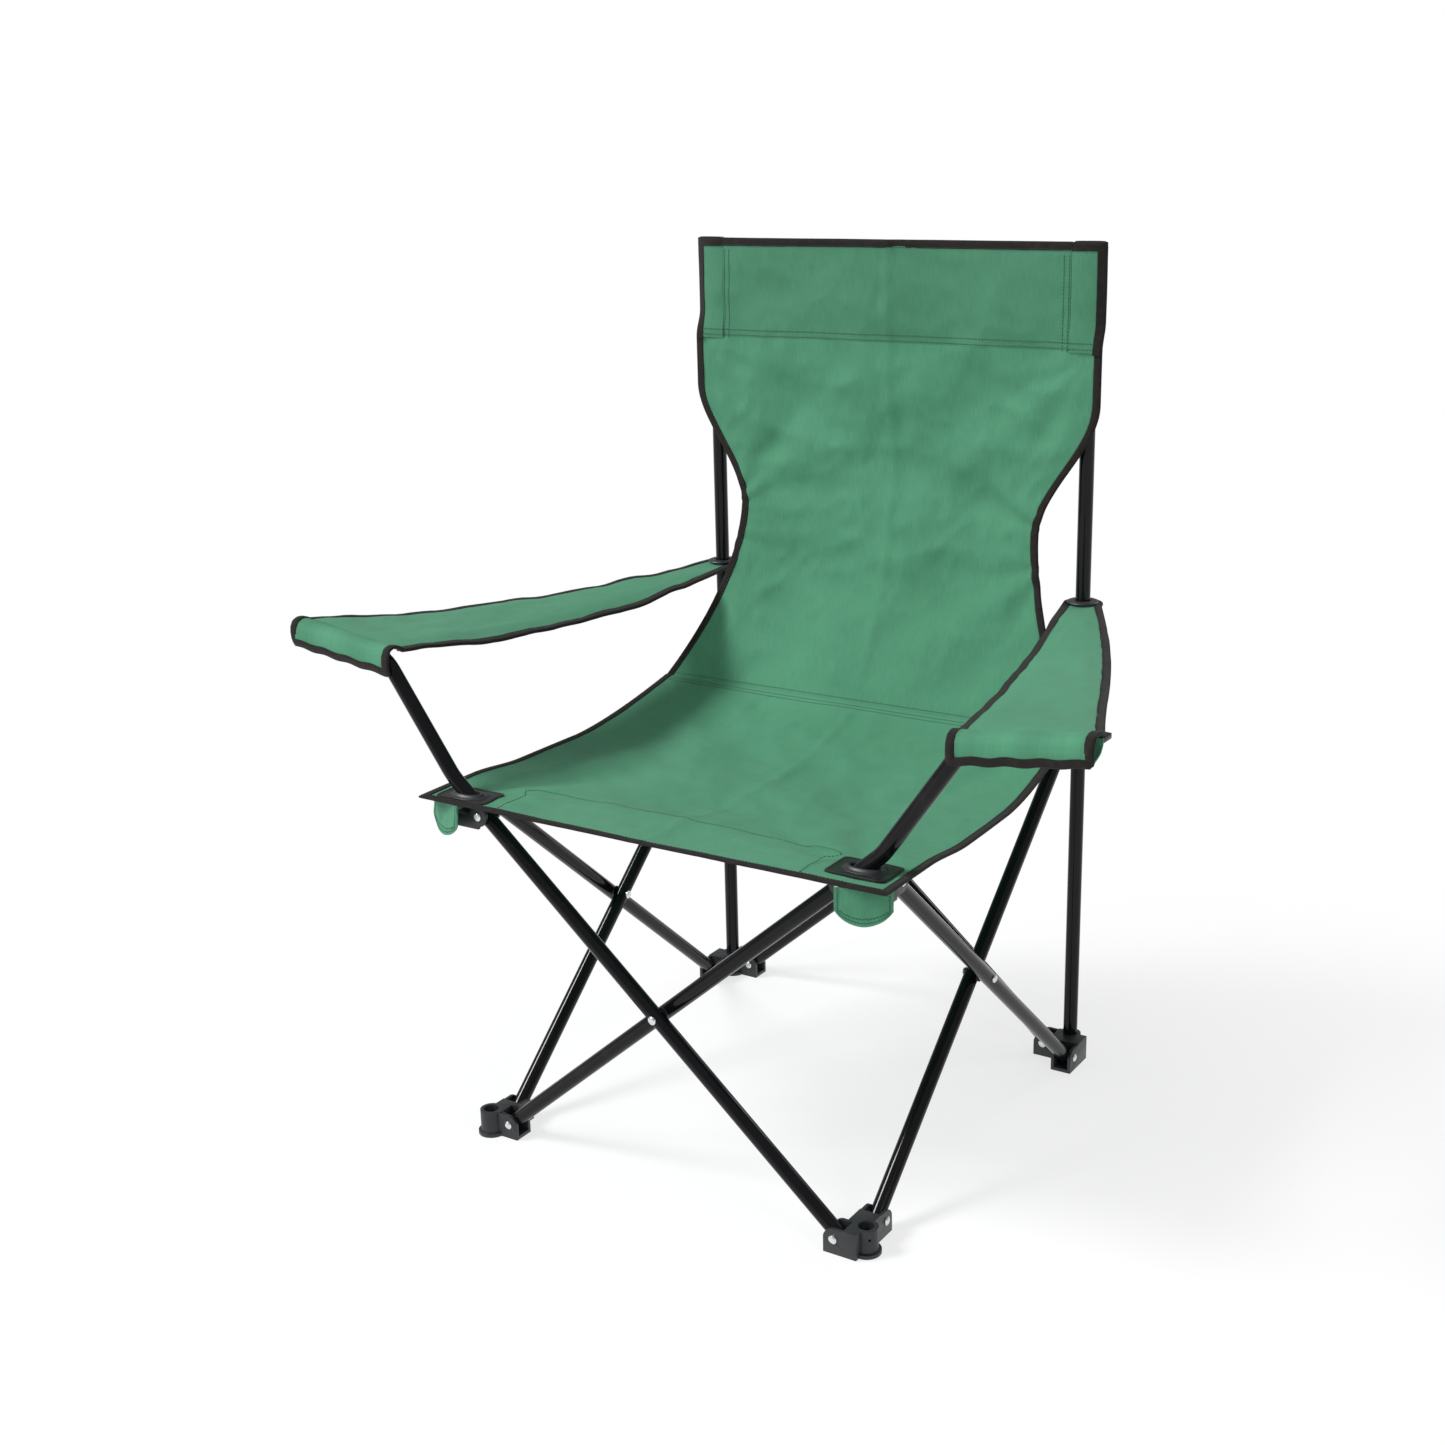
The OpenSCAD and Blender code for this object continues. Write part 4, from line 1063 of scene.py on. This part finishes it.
# ---- Corner tabs ----
# A doubled flap of the green cloth, with a round stitched end, hangs under each front corner of the
# seat and keeps the bracket off the sitter's legs.
for hand, side_name, bracket in ((-1, "left", "left_bracket"), (1, "right", "right_bracket")):
    low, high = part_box("corner_tab_" + side_name)
    mid_x, mid_y = (low.x + high.x) / 2 - hand * 0.006, low.y + 0.0125
    tab_half, tab_round, tab_drop = 0.027, 0.0324, high.z - low.z
    turn = math.radians(24)
    way = Vector((math.cos(turn), hand * math.sin(turn), 0))
    out_way = Vector((hand * math.sin(turn), -math.cos(turn), 0))

    def on_tab(a, b, lift=0.0):
        """A point of the tab: a runs across it and b down it."""
        drop = b * (tab_drop - tab_round + math.sqrt(max(tab_round ** 2 - (a * tab_half) ** 2, 0)))
        curl = 0.0045 * (drop / tab_drop) ** 2 * (1 - 0.3 * a * a)
        curl += 0.0012 * noise.noise(Vector((a * 2, b * 3, 7 + hand)))
        return Vector((mid_x, mid_y, high.z - drop)) + way * (a * tab_half) + out_way * (curl + lift)

    tab_spots = [[(a, b) for a in np.linspace(-1, 1, 29)] for b in np.linspace(0, 1, 19)]
    tab_points = np.array([[on_tab(a, b) for a, b in row] for row in tab_spots])
    tab_measures = np.array([[(a * tab_half, b * tab_drop) for a, b in row] for row in tab_spots])
    tab = cloth_shell("corner_tab_cloth_" + side_name, tab_points, tab_measures, green, thick=0.0018)
    rim_line = [on_tab(-0.88, b, 0.0011) for b in np.linspace(0.05, 0.85, 9)]
    rim_line += [on_tab(a, 0.90, 0.0011) for a in np.linspace(-0.84, 0.84, 21)]
    rim_line += [on_tab(0.88, b, 0.0011) for b in np.linspace(0.85, 0.05, 9)]
    inner_line = [on_tab(a * 0.78, 0.80, 0.0011) for a in np.linspace(-1, 1, 21)]
    sewn = stitches("corner_tab_stitches_" + side_name, [rim_line, inner_line], green_cord, pitch=0.003)
    for piece in (tab, sewn):
        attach(piece, bracket)
    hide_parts("corner_tab_" + side_name)


# ---- Post rings ----
# A black two-flange grommet in each armrest's rear end clamps the cloth in its groove and
# slides on the post.
for side_name in ("left", "right"):
    low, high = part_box("post_ring_" + side_name)
    middle = (low + high) / 2
    outer_r, half_h = (high.x - low.x) / 2, (high.z - low.z) / 2
    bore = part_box("post_" + side_name)
    bore = (bore[1].x - bore[0].x) / 2 + 0.0003
    profile = [(bore, -half_h + 0.0006), (bore + 0.0008, -half_h), (outer_r - 0.0026, -half_h + 0.0002),
               (outer_r - 0.0006, -half_h + 0.0010), (outer_r, -half_h + 0.0020), (outer_r - 0.0008, -0.0020),
               (outer_r - 0.0050, -0.0018), (outer_r - 0.0050, 0.0018), (outer_r - 0.0008, 0.0020),
               (outer_r, half_h - 0.0020), (outer_r - 0.0006, half_h - 0.0010),
               (outer_r - 0.0026, half_h - 0.0002), (bore + 0.0026, half_h), (bore + 0.0008, half_h - 0.0001),
               (bore, half_h - 0.0008)]
    rings = [[(middle.x + r * math.cos(t), middle.y + r * math.sin(t), middle.z + z) for r, z in profile]
             for t in np.linspace(0, 2 * math.pi, 65)[:-1]]
    grommet = loft("post_grommet_" + side_name, rings, nylon, 40)
    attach(grommet, side_name + "_ring")
    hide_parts("post_ring_" + side_name)


# ---- Armrests ----
# Each armrest is a doubled, lightly padded leaf of the green cloth, narrow at the post and wide at
# the front. It hangs between the post's grommet and the bar of its arm tube.
bar_x, bar_z, bar_slope = 0.3475, 0.5312, 0.1325
bar_inner, bar_middle, bar_outer = 0.315, 0.383, 0.4505
ring_z = 0.539


def bar_height(x):
    """Height of an armrest bar's middle line."""
    return bar_z + bar_slope * (abs(x) - bar_x)


def arm_point(hand, t, s, bar_y):
    """A point of an armrest's middle surface.
    t runs from -1 inside to 1 outside, and s from the rear end to the bar."""
    post_x, post_y = half_gauge, rear_plane
    round_r = 0.0205
    end_y = bar_y + 0.0122
    y = post_y + round_r - s * (post_y + round_r - end_y)
    q = min(max((post_y - y) / (post_y - end_y), 0), 1)
    inner = post_x - round_r + (bar_inner - post_x + round_r) * q - 0.006 * math.sin(math.pi * q)
    outer = post_x + round_r + (bar_outer - post_x - round_r) * q + 0.016 * math.sin(math.pi * q) * (1 - q)
    if y > post_y:
        half = math.sqrt(max(round_r ** 2 - (y - post_y) ** 2, 0.004 ** 2))
        inner, outer = post_x - half, post_x + half
    x = (inner + outer) / 2 + t * (outer - inner) / 2
    sag = math.sin(math.pi * q)
    z = ring_z + (bar_height(x) + 0.0062 - ring_z) * q - (0.0125 - 0.0025 * t) * sag
    flat = ease((math.hypot(x - post_x, y - post_y) - 0.018) / 0.05)
    ripple = 0.0022 * crumple(x * 1.6, y, 31.0 + hand)
    ripple += 0.0016 * noise.noise(Vector((y * 34, t * 0.6, 5 + hand)))
    return Vector((hand * x, y, z + flat * ripple * min(1, (1 - s) * 12 + 0.3)))


for hand, side_name in sides_of_chair:
    low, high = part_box("arm_sleeve_" + side_name)
    bar_y = (low.y + high.y) / 2
    rows = np.concatenate([0.0410 / 0.4815 * (1 - np.cos(np.linspace(0, math.pi / 2, 13))) * 0.5,
                           np.linspace(0.0440 / 0.9630, 1, 61)])
    across = np.linspace(-1, 1, 29) * hand
    leaf, leaf_measures = grid(across, rows, lambda t, s: arm_point(hand, t * hand, s, bar_y))
    half_wide = np.linalg.norm(leaf[:, -1] - leaf[:, 0], axis=1)[:, None] / 2
    from_edge = (1 - np.abs(across))[None, :] * half_wide
    ends = np.clip(np.minimum((rows - 0.09) / 0.06, (1 - rows) / 0.04 + 0.3), 0, 1)[:, None]
    plump = 0.0024 + 0.0068 * np.clip((from_edge - 0.0065) / 0.018, 0, 1) ** 0.7 * ends
    rest = cloth_shell("armrest_cloth_" + side_name, leaf, leaf_measures, green, thick=plump)
    rest_body = side_name + "_armrest"
    punch = bpy.data.meshes.new("punch")
    cutter = bmesh.new()
    bmesh.ops.create_cone(cutter, cap_ends=True, segments=40, radius1=0.0123, radius2=0.0123, depth=0.06,
                          matrix=Matrix.Translation((hand * half_gauge, rear_plane, 0.54)))
    cutter.to_mesh(punch)
    cutter.free()
    punch_tool = bpy.data.objects.new("punch", punch)
    bpy.context.scene.collection.objects.link(punch_tool)
    hole = rest.modifiers.new("hole", "BOOLEAN")
    hole.operation = "DIFFERENCE"
    hole.solver = "EXACT"
    hole.object = punch_tool
    holed = finished_mesh(rest)
    rest.modifiers.clear()
    rest.data = holed
    bpy.data.objects.remove(punch_tool)
    side_a, side_b = turned(grid_edge(leaf, "left")), grid_edge(leaf, "right")
    rim_path = joined(side_a, grid_edge(leaf, "start"), side_b)
    trim = tape("armrest_binding_" + side_name, *rim_path, swell=1.35, depth=0.0085)
    sewn = stitches("armrest_stitches_" + side_name, tape_seams(*rim_path, depth=0.0072, lift=0.0021),
                    black_cord)
    for piece in (rest, trim, sewn):
        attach(piece, rest_body)
        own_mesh(piece)
    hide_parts("armrest_" + side_name)


# ---- Armrest sleeves ----
# The front of each armrest is sewn into a tunnel that the bar of the arm tube is pushed through.
# The cloth puffs over the bar and ends in a taped seam below it.
over_profile = np.array([(-0.0135, 0.0062), (-0.0085, 0.0090), (-0.0035, 0.0106),
                         (0.0020, 0.0105), (0.0075, 0.0082), (0.0108, 0.0028),
                         (0.0116, -0.0040), (0.0110, -0.0105), (0.0096, -0.0165)])
under_profile = np.array([(-0.0135, 0.0048), (-0.0120, -0.0030), (-0.0075, -0.0090), (-0.0010, -0.0118),
                          (0.0042, -0.0134), (0.0080, -0.0168)])
for hand, side_name in sides_of_chair:
    low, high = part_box("arm_sleeve_" + side_name)
    bar_y = (low.y + high.y) / 2

    def sleeve_point(profile, t, x):
        """A point of the sleeve: t runs round a profile and x along the bar."""
        run = np.concatenate([[0], np.cumsum(np.linalg.norm(np.diff(profile, axis=0), axis=1))])
        v, w = (np.interp(t * run[-1], run, profile[:, k]) for k in (0, 1))
        puff = 1 + 0.07 * crumple(x * 2.2, t * 0.05, 41.0 + hand) * math.sin(math.pi * t)
        loose = 1 + 0.16 * ease((0.345 - x) / 0.03) * math.sin(math.pi * t)
        snug = 1 - 0.10 * ease((x - 0.4465) / 0.006)
        return Vector((hand * x, bar_y - v * puff * (snug if v > 0 else 1),
                       bar_height(x) + w * puff * loose * snug))

    wide = np.linspace(0.3165, 0.4500, 54)
    narrow = wide[wide > 0.347]
    for part, profile, spots, count in (("over", over_profile, wide, 27),
                                        ("under", under_profile, narrow, 17)):
        ways = np.linspace(0, 1, count)
        order = ways if (hand > 0) == (part == "over") else ways[::-1]
        layer, layer_measures = grid(order, spots, lambda t, x: sleeve_point(profile, t, x))
        facing = surface_normals(layer)[len(spots) // 2, count // 2]
        if (facing[2] > 0) != (part == "over"):
            layer, layer_measures = layer[:, ::-1], layer_measures[:, ::-1]
        cloth = cloth_shell("arm_sleeve_%s_%s" % (part, side_name), layer, layer_measures, green,
                            thick=0.0013)
        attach(cloth, side_name + "_arm")
    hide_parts("arm_sleeve_" + side_name)
    down = np.linspace(0, 0.86, 14)
    path = [(t, 0.3158, 1, 0) for t in down] + [(0.95, 0.3162, 0.8, 0.6), (1.0, 0.3190, 0.5, 0.9)]
    path += [(1.0, x, 0, 1) for x in np.linspace(0.3220, 0.4440, 46)]
    path += [(1.0, 0.4475, -0.5, 0.9), (0.95, 0.4502, -0.8, 0.6)] + [(t, 0.4506, -1, 0) for t in down[::-1]]
    edge, inward, normal = [], [], []
    for t, x, sideways, up in path:
        spot = sleeve_point(over_profile, t, x)
        ahead, behind = min(t + 0.03, 1), max(t - 0.03, 0)
        run = sleeve_point(over_profile, ahead, x) - sleeve_point(over_profile, behind, x)
        out = Vector((0, run.z, -run.y)).normalized()
        if t < 0.5 and out.z < 0 or t >= 0.5 and out.y > 0:
            out = -out
        edge.append((spot.x, spot.y, spot.z + 0.0007 * math.sin(x * 190) * up))
        inward.append(Vector((hand * sideways, 0, 0)) - run.normalized() * up)
        normal.append(out)
    trim = tape("arm_sleeve_binding_" + side_name, edge, inward, normal, swell=1.2)
    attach(trim, side_name + "_arm")
